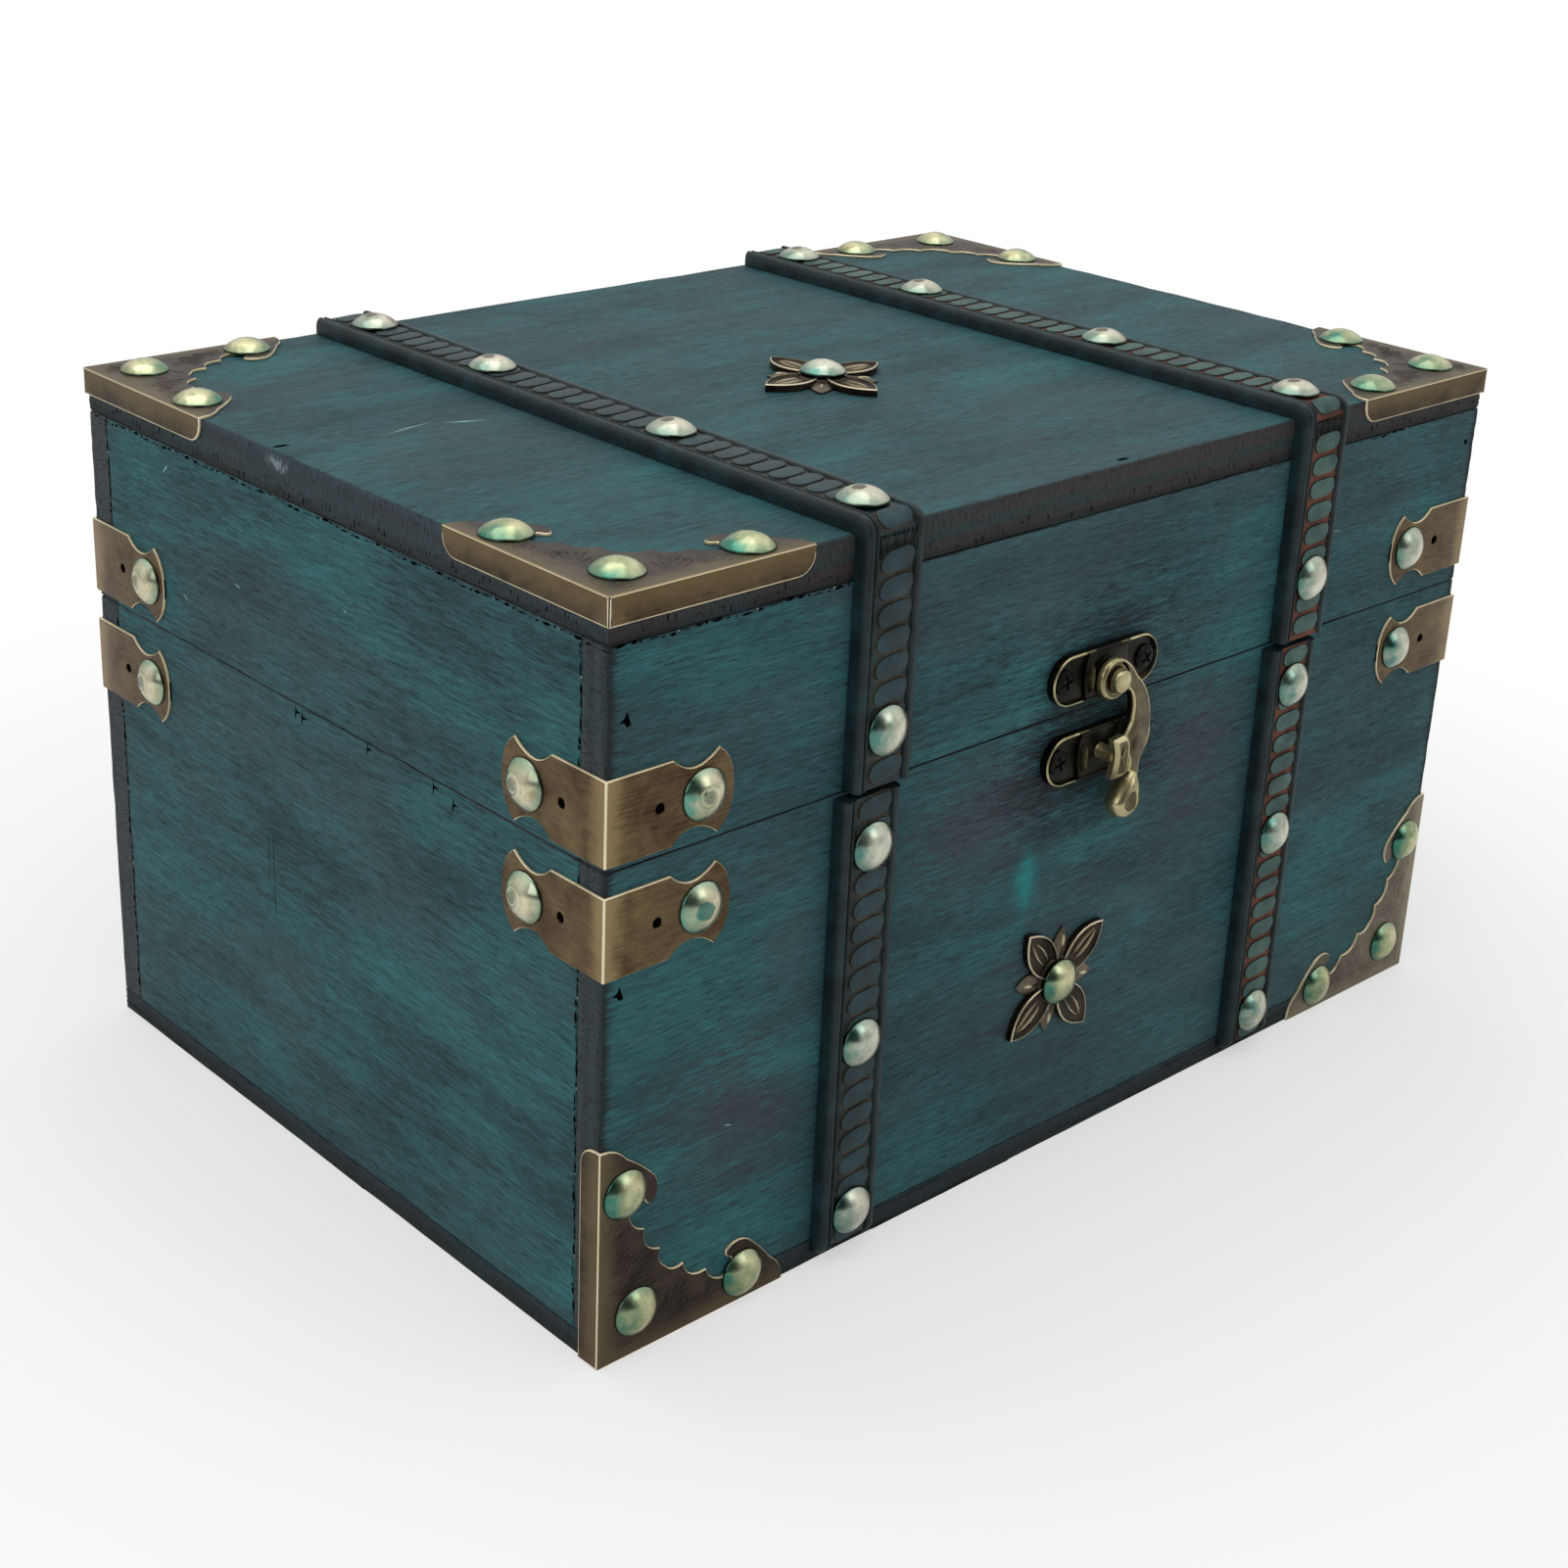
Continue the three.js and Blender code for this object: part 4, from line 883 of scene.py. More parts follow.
# Domed nails: stamped brass upholstery nails, dulled with green and brown lacquer, their colour painting
# a reflection across each dome. Those on top of the straps have a brown spot in the middle, and most on
# the corner straps show the swirl of their stamp. One pattern is copied to every place.
nail_radius = 5
nail_rim_height = 0.45
nail_dome_rise = 2.25
nail_sink = 0.25 * mm
sheet_face = 0.6 * mm
strap_face = strap_glue + strap_thickness


def turned_solid(profile, corners):
    """Rings at the given radii and heights, in millimetres, drawn out one from the other.
    A last radius of 0 closes the solid in a point."""
    radius, height = profile[0]
    bpy.ops.object.select_all(action="DESELECT")
    bpy.ops.mesh.primitive_circle_add(vertices=corners, radius=radius * mm, fill_type="NGON",
                                      location=(0, 0, height * mm))
    piece = bpy.context.object
    edit_all()
    for next_radius, next_height in profile[1:]:
        rise = (next_height - height) * mm
        bpy.ops.mesh.extrude_region_move(TRANSFORM_OT_translate={"value": (0, 0, rise)})
        if next_radius:
            ratio = next_radius / radius
            bpy.ops.transform.resize(value=(ratio, ratio, 1), center_override=(0, 0, next_height * mm))
        else:
            bpy.ops.mesh.merge(type="CENTER")
        radius, height = next_radius, next_height
    edit_done()
    bpy.ops.object.transform_apply(location=True)
    return outward(piece)


def lacquered_nail(name, codes, middle, middle_reach, swirl):
    """Plated brass under thin lacquer, green towards the rim. Its colour paints a reflection across the
    dome, darker to one side with a pale highlight a little past the middle, and a painted shade at the
    edge of the rim. The middle has a spot of its own colour, and a stamped swirl can show round it."""
    material = bpy.data.materials.new(name)
    tree = empty_tree(material)
    where = add_node(tree, "TexCoord")
    patches = add_node(tree, "TexNoise",
                       {"Vector": where.outputs["Object"], "Scale": 1 / (4 * mm), "Detail": 4,
                        "Roughness": 0.6})
    cloud = add_node(tree, "TexNoise",
                     {"Vector": where.outputs["Object"], "Scale": 1 / (1.2 * mm), "Detail": 3})
    disc = add_node(tree, "UVMap", uv_map="disc")
    across = add_node(tree, "VectorMath", {0: disc, 1: (0.5, 0.5, 0)}, operation="SUBTRACT")
    inner = add_node(tree, "VectorMath", {0: disc, 1: (0.42, 0.52, 0)}, operation="SUBTRACT")
    inner_reach = add_node(tree, "VectorMath", {0: inner}, operation="LENGTH")
    inner_reach = add_node(tree, "Math", {0: inner_reach.outputs["Value"], 1: 2 * nail_radius},
                           operation="MULTIPLY")
    reach = add_node(tree, "VectorMath", {0: across}, operation="LENGTH")
    reach = add_node(tree, "Math", {0: reach.outputs["Value"], 1: 2 * nail_radius}, operation="MULTIPLY")
    parts = add_node(tree, "SeparateXYZ", {0: across})
    # Light and dark across the dome: a painted reflection of the room's bright and dark sides
    side = add_node(tree, "MapRange",
                    {"Value": parts, "From Min": -0.5, "From Max": 0.5, "To Min": 0.32, "To Max": 0.68})
    tone = add_node(tree, "Mix", {0: 0.66, 2: patches, 3: side})
    lacquer = add_node(tree, "ValToRGB", {0: tone})
    ramp = lacquer.color_ramp
    ramp.elements[0].position, ramp.elements[0].color = 0.38, paint(codes[0])
    ramp.elements[1].position, ramp.elements[1].color = 0.63, paint(codes[3])
    ramp.elements.new(0.45).color = paint(codes[1])
    ramp.elements.new(0.54).color = paint(codes[2])
    green = add_node(tree, "MapRange",
                     {"Value": reach, "From Min": 3.2, "From Max": 4.9, "To Min": 0, "To Max": 0.55})
    rimmed = add_node(tree, "Mix", {0: green, 6: lacquer, 7: paint(codes[4])}, data_type="RGBA")
    uneven = add_node(tree, "Math", {0: cloud, 1: 1, 2: inner_reach}, operation="MULTIPLY_ADD")
    inside = add_node(tree, "MapRange",
                      {"Value": uneven, "From Min": middle_reach + 0.25,
                       "From Max": middle_reach + 0.65, "To Min": 0.85, "To Max": 0})
    spotted = add_node(tree, "Mix", {0: inside, 6: rimmed.outputs[2], 7: paint(middle)}, data_type="RGBA")
    around = add_node(tree, "SeparateXYZ", {0: inner})
    angle = add_node(tree, "Math", {0: around.outputs[1], 1: around}, operation="ARCTAN2")
    turns = add_node(tree, "Math", {0: inner_reach, 1: 5.5, 2: angle}, operation="MULTIPLY_ADD")
    wave = add_node(tree, "Math", {0: turns}, operation="SINE")
    fade = add_node(tree, "MapRange",
                    {"Value": inner_reach, "From Min": 1.6, "From Max": 3, "To Min": swirl, "To Max": 0})
    swirls = add_node(tree, "Math", {0: wave, 1: fade}, operation="MULTIPLY")
    turned = add_node(tree, "MapRange",
                      {"Value": swirls, "From Min": 0, "From Max": 1, "To Min": 0, "To Max": 0.8})
    stamped = add_node(tree, "Mix", {0: turned, 6: spotted.outputs[2], 7: paint(middle)},
                       data_type="RGBA")
    # A dark ring at the dome's edge: painted shade
    rim = add_node(tree, "MapRange",
                   {"Value": reach, "From Min": 4.8, "From Max": 4.96, "To Min": 0, "To Max": 0.85})
    rim_painted_shade = add_node(tree, "Mix", {0: rim, 6: stamped.outputs[2], 7: paint("#20261f")},
                           data_type="RGBA")
    relief = add_node(tree, "Math", {0: cloud, 1: 0.5, 2: swirls}, operation="MULTIPLY_ADD")
    bump = add_node(tree, "Bump", {"Height": relief, "Strength": 0.4, "Distance": 0.12 * mm})
    rough = add_node(tree, "MapRange",
                     {"Value": patches, "From Min": 0.35, "From Max": 0.65, "To Min": 0.18,
                      "To Max": 0.3})
    shader = add_node(tree, "BsdfPrincipled",
                      {"Base Color": rim_painted_shade.outputs[2], "Metallic": 1, "Roughness": rough,
                       "Normal": bump})
    add_node(tree, "OutputMaterial", {"Surface": shader})
    return material


# Colours of the lacquer: the dark side of the painted reflection, its middle, its pale highlight, its far
# side, and the green of the rim
pale_brass = ("#55877f", "#a9b3a2", "#e2dfcd", "#a89d88", "#577f72")
golden_brass = ("#47806f", "#9aa57f", "#d6d3a8", "#9c9065", "#3d7866")
brown_spot_brass = ("#87988a", "#b5b7a4", "#dcd7c2", "#a4937e", "#577f72")
green_brass = ("#6b9a88", "#b4b896", "#dcd7b8", "#a89a78", "#5f9a8a")
plain_nail = lacquered_nail("Lacquered brass nail, pale", pale_brass, "#c9c29c", 0, 0)
golden_nail = lacquered_nail("Lacquered brass nail, golden", golden_brass, "#c9c29c", 0, 0)
spotted_nail = lacquered_nail("Lacquered brass nail, brown middle spot", brown_spot_brass, "#5b4a3a", 1.4, 0)
swirled_nail = lacquered_nail("Lacquered brass nail, stamped swirl", green_brass, "#7b8272", 1.2, 0.7)
ringed_nail = lacquered_nail("Lacquered brass nail, green middle", green_brass, "#2f6f68", 1.9, 0)

dome_radius = (nail_radius ** 2 + nail_dome_rise ** 2) / (2 * nail_dome_rise)
foot_drop = math.sqrt(dome_radius ** 2 - nail_radius ** 2)
nail_profile = [(nail_radius - 0.15, 0), (nail_radius, 0.15), (nail_radius, nail_rim_height)]
for radius in (4.75, 4.3, 3.7, 3, 2.2, 1.3, 0.5, 0):
    rise = math.sqrt(dome_radius ** 2 - radius ** 2) - foot_drop
    nail_profile.append((radius, nail_rim_height + rise))
nail_pattern = turned_solid(nail_profile, 36)
disc_map = nail_pattern.data.uv_layers.new(name="disc")
for corner in nail_pattern.data.loops:
    place = nail_pattern.data.vertices[corner.vertex_index].co
    disc_map.data[corner.index].uv = [0.5 + c / (2 * nail_radius * mm) for c in place.xy]
bpy.ops.object.shade_smooth_by_angle(angle=math.radians(60))


def nails(name, body, node, places, looks=(plain_nail,)):
    """A set of nails driven in at the places. Looks are dealt out in turn."""
    heads = []
    for i, place in enumerate(places):
        head = copied(nail_pattern, place @ Matrix.Translation((0, 0, -nail_sink)))
        head.data.materials.append(looks[i % len(looks)])
        heads.append(head)
    fit(joined(heads), name, body, "nail_brass", node)


strap_nail_depths = [-79.05, -27.03, 29.58, 72.08]
strap_nail_heights = {"left": (111.21, (88.74, 47.81, 10.76)), "right": (113.81, (90.04, 54.98, 10.96))}
for side, (lid_height, base_heights) in strap_nail_heights.items():
    low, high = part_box(f"lid_strap_{side}")
    middle = (low.x + high.x) / 2
    places = [on_face("top", middle, depth * mm, strap_face) for depth in strap_nail_depths]
    places.append(on_face("front", middle, lid_height * mm, strap_face))
    looks = (spotted_nail, spotted_nail, spotted_nail, spotted_nail, plain_nail)
    nails(f"lid_strap_{side}_nails", "lid", f"lid_strap_{side}", places, looks)
    low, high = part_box(f"base_strap_{side}")
    middle = (low.x + high.x) / 2
    places = [on_face("front", middle, height * mm, strap_face) for height in base_heights]
    nails(f"base_strap_{side}_nails", "base", f"base_strap_{side}", places)

# Corner straps: soft sheet brass, stamped flat, brushed, bent round the upright edges and lacquered
# brown. The bend and the cut rims are pale, partly rubbed bright and partly a painted highlight. Each
# wing has one nail and one hole that was left empty.
sheet_back = 0.1
sheet_front = 0.6
wing_half_height = 8
wing_neck = (18.9, 5.6)
wing_straight = 14.11
wing_tip = 24.39
wing_reach = 28
wing_hole = 11.31
wing_nail = 21.2 * mm
rim_easing = 0.15


def brass(name, codes, along, roughness, metallic=1):
    """Brushed sheet brass under brown lacquer: fine lines along one axis, cloudy stains between dark and
    golden, and a glow close to the edges of the box, partly rubbed and partly a painted highlight along
    the bends."""
    material = bpy.data.materials.new(name)
    tree = empty_tree(material)
    where = add_node(tree, "TexCoord").outputs["Object"]
    scale = [1 / (0.22 * mm)] * 3
    for axis in along:
        scale[axis] = 1 / (7 * mm)
    stretched = add_node(tree, "Mapping", {"Vector": where, "Scale": scale})
    brush = add_node(tree, "TexNoise", {"Vector": stretched, "Scale": 1, "Detail": 3, "Roughness": 0.6})
    stains = add_node(tree, "TexNoise",
                      {"Vector": where, "Scale": 1 / (9 * mm), "Detail": 6, "Roughness": 0.66,
                       "Distortion": 0.4})
    tone = add_node(tree, "Mix", {0: 0.38, 2: stains, 3: brush})
    lacquer = add_node(tree, "ValToRGB", {0: tone})
    ramp = lacquer.color_ramp
    ramp.elements[0].position, ramp.elements[0].color = 0.36, paint(codes[0])
    ramp.elements[1].position, ramp.elements[1].color = 0.68, paint(codes[2])
    ramp.elements.new(0.5).color = paint(codes[1])
    # A glow near the box's edges: partly rubbed brass, partly a painted highlight along the bends
    rubbed = add_node(tree, "Math",
                      {0: tone, 1: -5 * mm, 2: edge_distance(tree, where)}, operation="MULTIPLY_ADD")
    glow = add_node(tree, "MapRange",
                    {"Value": rubbed, "From Min": -2.6 * mm, "From Max": 2.4 * mm, "To Min": 0.62,
                     "To Max": 0}, interpolation_type="SMOOTHSTEP")
    colour = add_node(tree, "Mix", {0: glow, 6: lacquer, 7: paint(codes[3])}, data_type="RGBA")
    bump = add_node(tree, "Bump", {"Height": brush, "Strength": 0.18, "Distance": 0.06 * mm})
    shader = add_node(tree, "BsdfPrincipled",
                      {"Base Color": colour.outputs[2], "Metallic": metallic, "Roughness": roughness,
                       "Normal": bump})
    add_node(tree, "OutputMaterial", {"Surface": shader})
    return material


level_axes = (axis_x, axis_y)
all_axes = (axis_x, axis_y, axis_z)
strap_brass = brass("Brushed brass under brown lacquer", ("#452f20", "#60503a", "#7e6c49", "#a8926a"),
                    level_axes, 0.38)
# Pale rims and bends: partly rubbed brass, partly a painted highlight on the bevelled edges
rubbed_rim_and_painted_highlight = brass("Rubbed brass rim and painted highlight", ("#b5a581", "#d8c9a4", "#f0e2bf", "#f4e8c8"), all_axes, 0.3, 0.35)


def pick_faces(piece, wanted):
    """Selects the faces that pass a test and leaves the piece open for editing."""
    bpy.context.view_layer.objects.active = piece
    bpy.ops.object.mode_set(mode="EDIT")
    bpy.ops.mesh.select_mode(type="FACE")
    bpy.ops.mesh.select_all(action="DESELECT")
    edit_done()
    for polygon in piece.data.polygons:
        polygon.select = wanted(polygon)
    bpy.ops.object.mode_set(mode="EDIT")


def pick_points(piece, wanted):
    """Selects the vertices that pass a test and leaves the piece open for editing."""
    bpy.context.view_layer.objects.active = piece
    bpy.ops.object.mode_set(mode="EDIT")
    bpy.ops.mesh.select_mode(type="VERT")
    bpy.ops.mesh.select_all(action="DESELECT")
    edit_done()
    for vertex in piece.data.vertices:
        vertex.select = wanted(vertex.co / mm)
    bpy.ops.object.mode_set(mode="EDIT")


def ease_edges(piece, wanted, width, segments=2):
    """Rounds the sharp edges whose two ends pass a test."""
    bpy.context.view_layer.objects.active = piece
    bpy.ops.object.mode_set(mode="EDIT")
    bpy.ops.mesh.select_mode(type="EDGE")
    bpy.ops.mesh.select_all(action="DESELECT")
    bpy.ops.mesh.edges_select_sharp(sharpness=math.radians(50))
    edit_done()
    places = [vertex.co / mm for vertex in piece.data.vertices]
    for face in piece.data.polygons:
        face.select = False
    for edge in piece.data.edges:
        edge.select = edge.select and all(wanted(places[i]) for i in edge.vertices)
    bpy.ops.object.mode_set(mode="EDIT")
    bpy.ops.mesh.bevel(offset=width * mm, segments=segments, affect="EDGES")
    bpy.ops.mesh.select_mode(type="FACE")
    edit_done()


def coat(piece, materials, choose):
    """Gives the piece its materials, one chosen for each face."""
    for material in materials:
        piece.data.materials.append(material)
    for polygon in piece.data.polygons:
        polygon.material_index = choose(polygon)


def cut_away(piece, tool):
    """Cuts the tool's shape out of the piece and removes the tool."""
    modifier = piece.modifiers.new("cut", "BOOLEAN")
    modifier.object = tool
    modifier.operation = "DIFFERENCE"
    modifier.solver = "EXACT"
    pick_alone(piece)
    bpy.ops.object.modifier_apply(modifier=modifier.name)
    drop(tool)


def corner_strap_pattern():
    """The sheet for the front left edge, whose upright edge of wood is the z axis."""
    upper = bends((wing_straight, wing_half_height), [
        (((wing_straight + wing_neck[0]) / 2, wing_neck[1]), wing_neck),
        (((wing_neck[0] + wing_tip) / 2, wing_neck[1]), (wing_tip, wing_half_height)),
        ((wing_reach, wing_neck[1]), (wing_reach, 0)),
    ])
    right = upper + [(x, -y) for x, y in reversed(upper[:-1])]
    bend = -sheet_back
    outline = right + [(2 * bend - x, -y) for x, y in right]
    piece = flat_plate(outline, sheet_back, sheet_front)
    for x in (wing_hole, 2 * bend - wing_hole):
        bpy.ops.mesh.primitive_cylinder_add(vertices=20, radius=1 * mm, depth=2 * mm,
                                            location=(x * mm, 0, 0))
        cut_away(piece, bpy.context.object)
    bpy.context.view_layer.objects.active = piece
    piece.data.transform(Matrix.Rotation(quarter, 4, "X"))
    edit_all()
    bpy.ops.mesh.bisect(plane_co=(bend * mm, 0, 0), plane_no=(1, 0, 0))
    edit_done()
    pick_points(piece, lambda place: place.x < bend - 0.01)
    bpy.ops.transform.rotate(value=quarter, orient_axis="Z", center_override=(bend * mm, bend * mm, 0))
    edit_done()
    pick_points(piece, lambda place: abs(place.x - bend) < 0.01 and place.y < bend - 0.01)
    bpy.ops.transform.translate(value=((sheet_back - sheet_front) * mm, 0, 0))
    edit_done()
    outward(piece)
    ease_edges(piece, lambda place: min(place.x, place.y) < -0.5 and abs(place.x - place.y) < 0.01,
               0.32, 3)
    ease_edges(piece, lambda place: min(place.x, place.y) < -0.5, rim_easing, 1)

    # Bevelled rims and the bend take the pale brass: rubbed, and a painted highlight
    def rim(face):
        along = max(face.center.xy) / mm
        return int(max(abs(face.normal.x), abs(face.normal.y)) < 0.995
                   and (abs(along - wing_hole) > 1.4 or abs(face.center.z) > 1.4 * mm))

    coat(piece, (strap_brass, rubbed_rim_and_painted_highlight), rim)
    bpy.ops.object.shade_smooth_by_angle(angle=math.radians(25))
    return piece


corner_pattern = corner_strap_pattern()
corner_places = {
    "front_left": ("front", "left", (-1, -1)),
    "front_right": ("front", "right", (1, -1)),
    "back_right": ("back", "right", (1, 1)),
    "back_left": ("back", "left", (-1, 1)),
}
for part in ("lid", "base"):
    for corner, (wide_side, end_side, (x, y)) in corner_places.items():
        node = f"{part}_corner_strap_{corner}"
        low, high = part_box(node)
        height = (low.z + high.z) / 2
        edge = Matrix.Translation((x * box_high.x, y * box_high.y, height))
        sheet = copied(corner_pattern, edge @ Matrix.Diagonal((-x, -y, 1, 1)))
        # A black disc under each empty hole: painted shade inside the hole
        shadows = []
        for shown, across in ((wide_side, (box_high.x - wing_hole * mm) * x * -y),
                              (end_side, (box_high.y - wing_hole * mm) * y * x)):
            shadow = turned_solid([(1.15, -0.1), (1.15, 0.06)], 16)
            shadow.data.transform(on_face(shown, across, height))
            shadow.data.materials.append(black_marks_and_painted_shade)
            shadows.append(shadow)
        sheet = joined([sheet, *shadows])
        fit(outward(sheet), f"{node}_sheet", part, "brushed_brass", node)
        wide = on_face(wide_side, (box_high.x - wing_nail) * x * (-y), height, sheet_face)
        end = on_face(end_side, (box_high.y - wing_nail) * y * x, height, sheet_face)
        looks = (plain_nail, swirled_nail)
        if node == "lid_corner_strap_front_left":
            looks = (swirled_nail, swirled_nail)
        if node == "base_corner_strap_front_left":
            looks = (ringed_nail, swirled_nail)
        nails(f"{node}_nails", part, node, [wide, end], looks)
drop(corner_pattern)

# Brackets: stamped brass triangles with a scalloped edge and engraved leaves, turned over
# the box's edges with a flange. Four sit on the lid, two low on the front of the base.
bracket_leg = 45
flange_depth = 5
flange_rounding = 3.9
scallops = [
    ((44.96, 3.38), (41.85, 5.63)), ((39.15, 9.45), (36, 12.24)), ((32.85, 14.18), (30.38, 11.93)),
    ((29.93, 10.58), (31.5, 10.13)), ((33.08, 8.33), (29.79, 6.39)), ((26.33, 6.98), (25.47, 10.08)),
    ((20.7, 9.45), (19.67, 14)), ((16.88, 13.05), (15.3, 15.3)),
]
# Engraved leaves: where each fan opens from, its first and last direction in degrees, how
# many strokes it has and how far from its start they lie
leaf_fans = [
    ((15, 2.5), (20, 80), 5, 4.4), ((19.5, 1.8), (15, 68), 5, 3.6), ((16.5, 5.5), (10, 62), 4, 3.6),
    ((24, 1), (16, 60), 3, 3), ((12, 12), (45, 45), 1, 0.4), ((1.6, 1.2), (8, 40), 3, 2.6),
]
bracket_brass = brass("Stamped brass under dark brown lacquer",
                      ("#2b2522", "#443b34", "#5a4f42", "#75694f"), level_axes, 0.45)
fold_brass = brass("Brass fold, half rubbed", ("#574a35", "#7b6b4d", "#a08e68", "#a08e68"),
                   all_axes, 0.32)
golden_fold = brass("Brass fold, rubbed golden", ("#63553a", "#85734d", "#a69367", "#a69367"),
                    all_axes, 0.3, 0.7)
flange_brass = brass("Turned brass flange, golden brown", ("#2f2620", "#4b3f31", "#665741", "#7a6a4a"),
                     level_axes, 0.38)
silver_brass = brass("Stamped brass, lacquer rubbed thin", ("#4b443c", "#6b6356", "#8a8170", "#a09880"),
                     level_axes, 0.42)


def stroke(length, width, rise):
    """One engraved leaf stroke: a slim raised blade with a ridge, along x."""
    outline = bends((0, 0), [((length / 2, -width), (length, 0)), ((length / 2, width), (0, 0))], 4)[:-1]
    piece = flat_plate(outline, 0, rise / 2)
    pick_faces(piece, lambda face: face.normal.z > 0.5)
    bpy.ops.mesh.inset(thickness=width * 0.2 * mm, depth=rise / 2 * mm)
    edit_done()
    return piece


def outward_alone(piece):
    """Picks one piece alone and turns its faces out."""
    pick_alone(piece)
    return outward(piece)


def bracket_pattern():
    """A bracket flat on z = 0, its legs along x and y and its flanges below them."""
    lower = bends((bracket_leg, 0), scallops)
    outline = [(bracket_leg, -sheet_front)] + lower + [(y, x) for x, y in reversed(lower[:-1])]
    outline += [(-sheet_front, bracket_leg), (-sheet_front, -sheet_front)]
    piece = flat_plate(outline, sheet_back, sheet_front)
    bpy.context.view_layer.objects.active = piece
    for direction in ((1, 0, 0), (0, 1, 0)):
        edit_all()
        bpy.ops.mesh.bisect(plane_co=(-sheet_back * mm,) * 3, plane_no=direction)
        edit_done()
    pick_faces(piece, lambda face: face.normal.z < -0.5 and min(face.center.xy) < -0.2 * mm)
    bpy.ops.mesh.extrude_region_move(TRANSFORM_OT_translate={"value": (0, 0, -flange_depth * mm)})
    edit_done()
    outward(piece)
    ease_edges(piece, lambda place: place.z < -4 and max(place.x, place.y) > bracket_leg - 0.1,
               flange_rounding, 6)
    ease_edges(piece, lambda place: min(place.x, place.y) < -0.5 and place.z > 0.5, 0.28, 3)
    ease_edges(piece, lambda place: max(place.x, place.y) < -0.5, 0.5, 3)
    ease_edges(piece, lambda place: min(place.x, place.y) < -0.5 or place.z > 0.5, rim_easing, 1)

    def turned_down(face):
        return max(abs(face.normal.x), abs(face.normal.y)) > 0.995 and min(face.center.xy) < -0.55 * mm

    pick_faces(piece, turned_down)
    bpy.ops.mesh.inset(thickness=0.13 * mm)
    edit_done()

    # The pale ring along the flanges' lower edges and the rims are partly rubbed brass, partly a painted
    # highlight
    def finish_of(face):
        away = face.normal
        if away.z > 0.995:
            return 0
        if turned_down(face):
            return 1 if face.select or face.center.z > -0.9 * mm else 2
        on_flange = min(face.center.xy) < -0.2 * mm
        if on_flange and away.z > 0.3 and max(face.center.xy) < (bracket_leg - 0.3) * mm:
            return 3 if abs(away.z - 0.707) > 0.15 else 5
        # The corner where the two flanges meet is black: painted shade of a slit between them
        if on_flange and away.x < -0.55 and away.y < -0.55:
            return 4
        return 2

    coat(piece, (bracket_brass, flange_brass, rubbed_rim_and_painted_highlight, fold_brass, black_marks_and_painted_shade, golden_fold),
         finish_of)
    strokes = []
    blade = stroke(2.7, 0.6, 0.11)
    over_the_diagonal = (Matrix.Rotation(math.radians(45), 4, "Z") @ Matrix.Diagonal((1, -1, 1, 1))
                         @ Matrix.Rotation(math.radians(-45), 4, "Z"))
    for (x, y), (first, last), count, reach in leaf_fans:
        for i in range(count):
            angle = math.radians(first + (last - first) * i / max(1, count - 1))
            place = Matrix.Translation((x * mm, y * mm, (sheet_front - 0.02) * mm))
            leaf = Matrix.Rotation(angle, 4, "Z") @ Matrix.Translation((reach * mm, 0, 0))
            for half in (Matrix.Identity(4), over_the_diagonal):
                strokes.append(outward_alone(copied(blade, half @ place @ leaf)))
    drop(blade)
    for made in strokes:
        coat(made, (bracket_brass,), lambda face: 0)
    piece = joined([piece, *strokes])
    bpy.ops.object.shade_smooth_by_angle(angle=math.radians(25))
    return piece


bracket = bracket_pattern()
bracket_nails = [(8.51, 8.51), (34.61, 5.4), (5.4, 34.61)]


def add_bracket(node, body, place):
    sheet = outward_alone(copied(bracket, place))
    if body == "base":
        # The middle of the fold on base brackets is pale: partly rubbed brass, partly a painted highlight
        sheet.data.materials[5] = rubbed_rim_and_painted_highlight
        # The flange under the box lies in a recess, no lower than the wood
        for vertex in sheet.data.vertices:
            vertex.co.z = max(vertex.co.z, box_low.z)
    if node == "base_bracket_right":
        sheet.data.materials[0] = silver_brass
    fit(sheet, f"{node}_sheet", body, "aged_brass", node)
    heads = []
    for x, y in bracket_nails:
        spot = place @ Matrix.Translation((x * mm, y * mm, sheet_face))
        spot = Matrix.Translation(spot.translation) @ spot.to_3x3().normalized().to_4x4()
        # Nails aren't mirrored with the bracket, which would turn them inside out
        if spot.determinant() < 0:
            spot = spot @ Matrix.Diagonal((-1, 1, 1, 1))
        heads.append(spot)
    nails(f"{node}_nails", body, node, heads, (golden_nail,))


for corner, (_, _, (x, y)) in corner_places.items():
    place = Matrix.Translation((x * box_high.x, y * box_high.y, box_high.z))
    add_bracket(f"lid_bracket_{corner}", "lid", place @ Matrix.Diagonal((-x, -y, 1, 1)))
for side, x in (("left", -1), ("right", 1)):
    place = Matrix.Translation((x * box_high.x, box_low.y, sheet_face)) @ Matrix.Rotation(quarter, 4, "X")
    add_bracket(f"base_bracket_{side}", "base", place @ Matrix.Diagonal((-x, 1, 1, 1)))
drop(bracket)

# Flowers: cast zinc, bronzed dark and rubbed on the rims. Four long petals with two veins
# each lie over four short ridged leaves, and one nail holds the middle.
petal_reach = 16.4
petal_width = 7.4
leaf_reach = 11.8
leaf_width = 4.9
petal_top = 1.35
flower_bronze = brass("Bronzed zinc, dark", ("#1d1a17", "#3a342c", "#4f473b", "#4f473b"), all_axes, 0.42)
flower_rim = brass("Bronzed zinc, rubbed rim", ("#9a8d74", "#c9bb9c", "#e6dabc", "#e6dabc"),
                   all_axes, 0.32, 0.6)


def petal_outline(reach, width):
    bulge = (reach * 0.58, -width * 1.02)
    half = bends((0, 0), [(bulge, (reach, 0))], 9)
    return half + [(x, -y) for x, y in reversed(half[1:-1])]


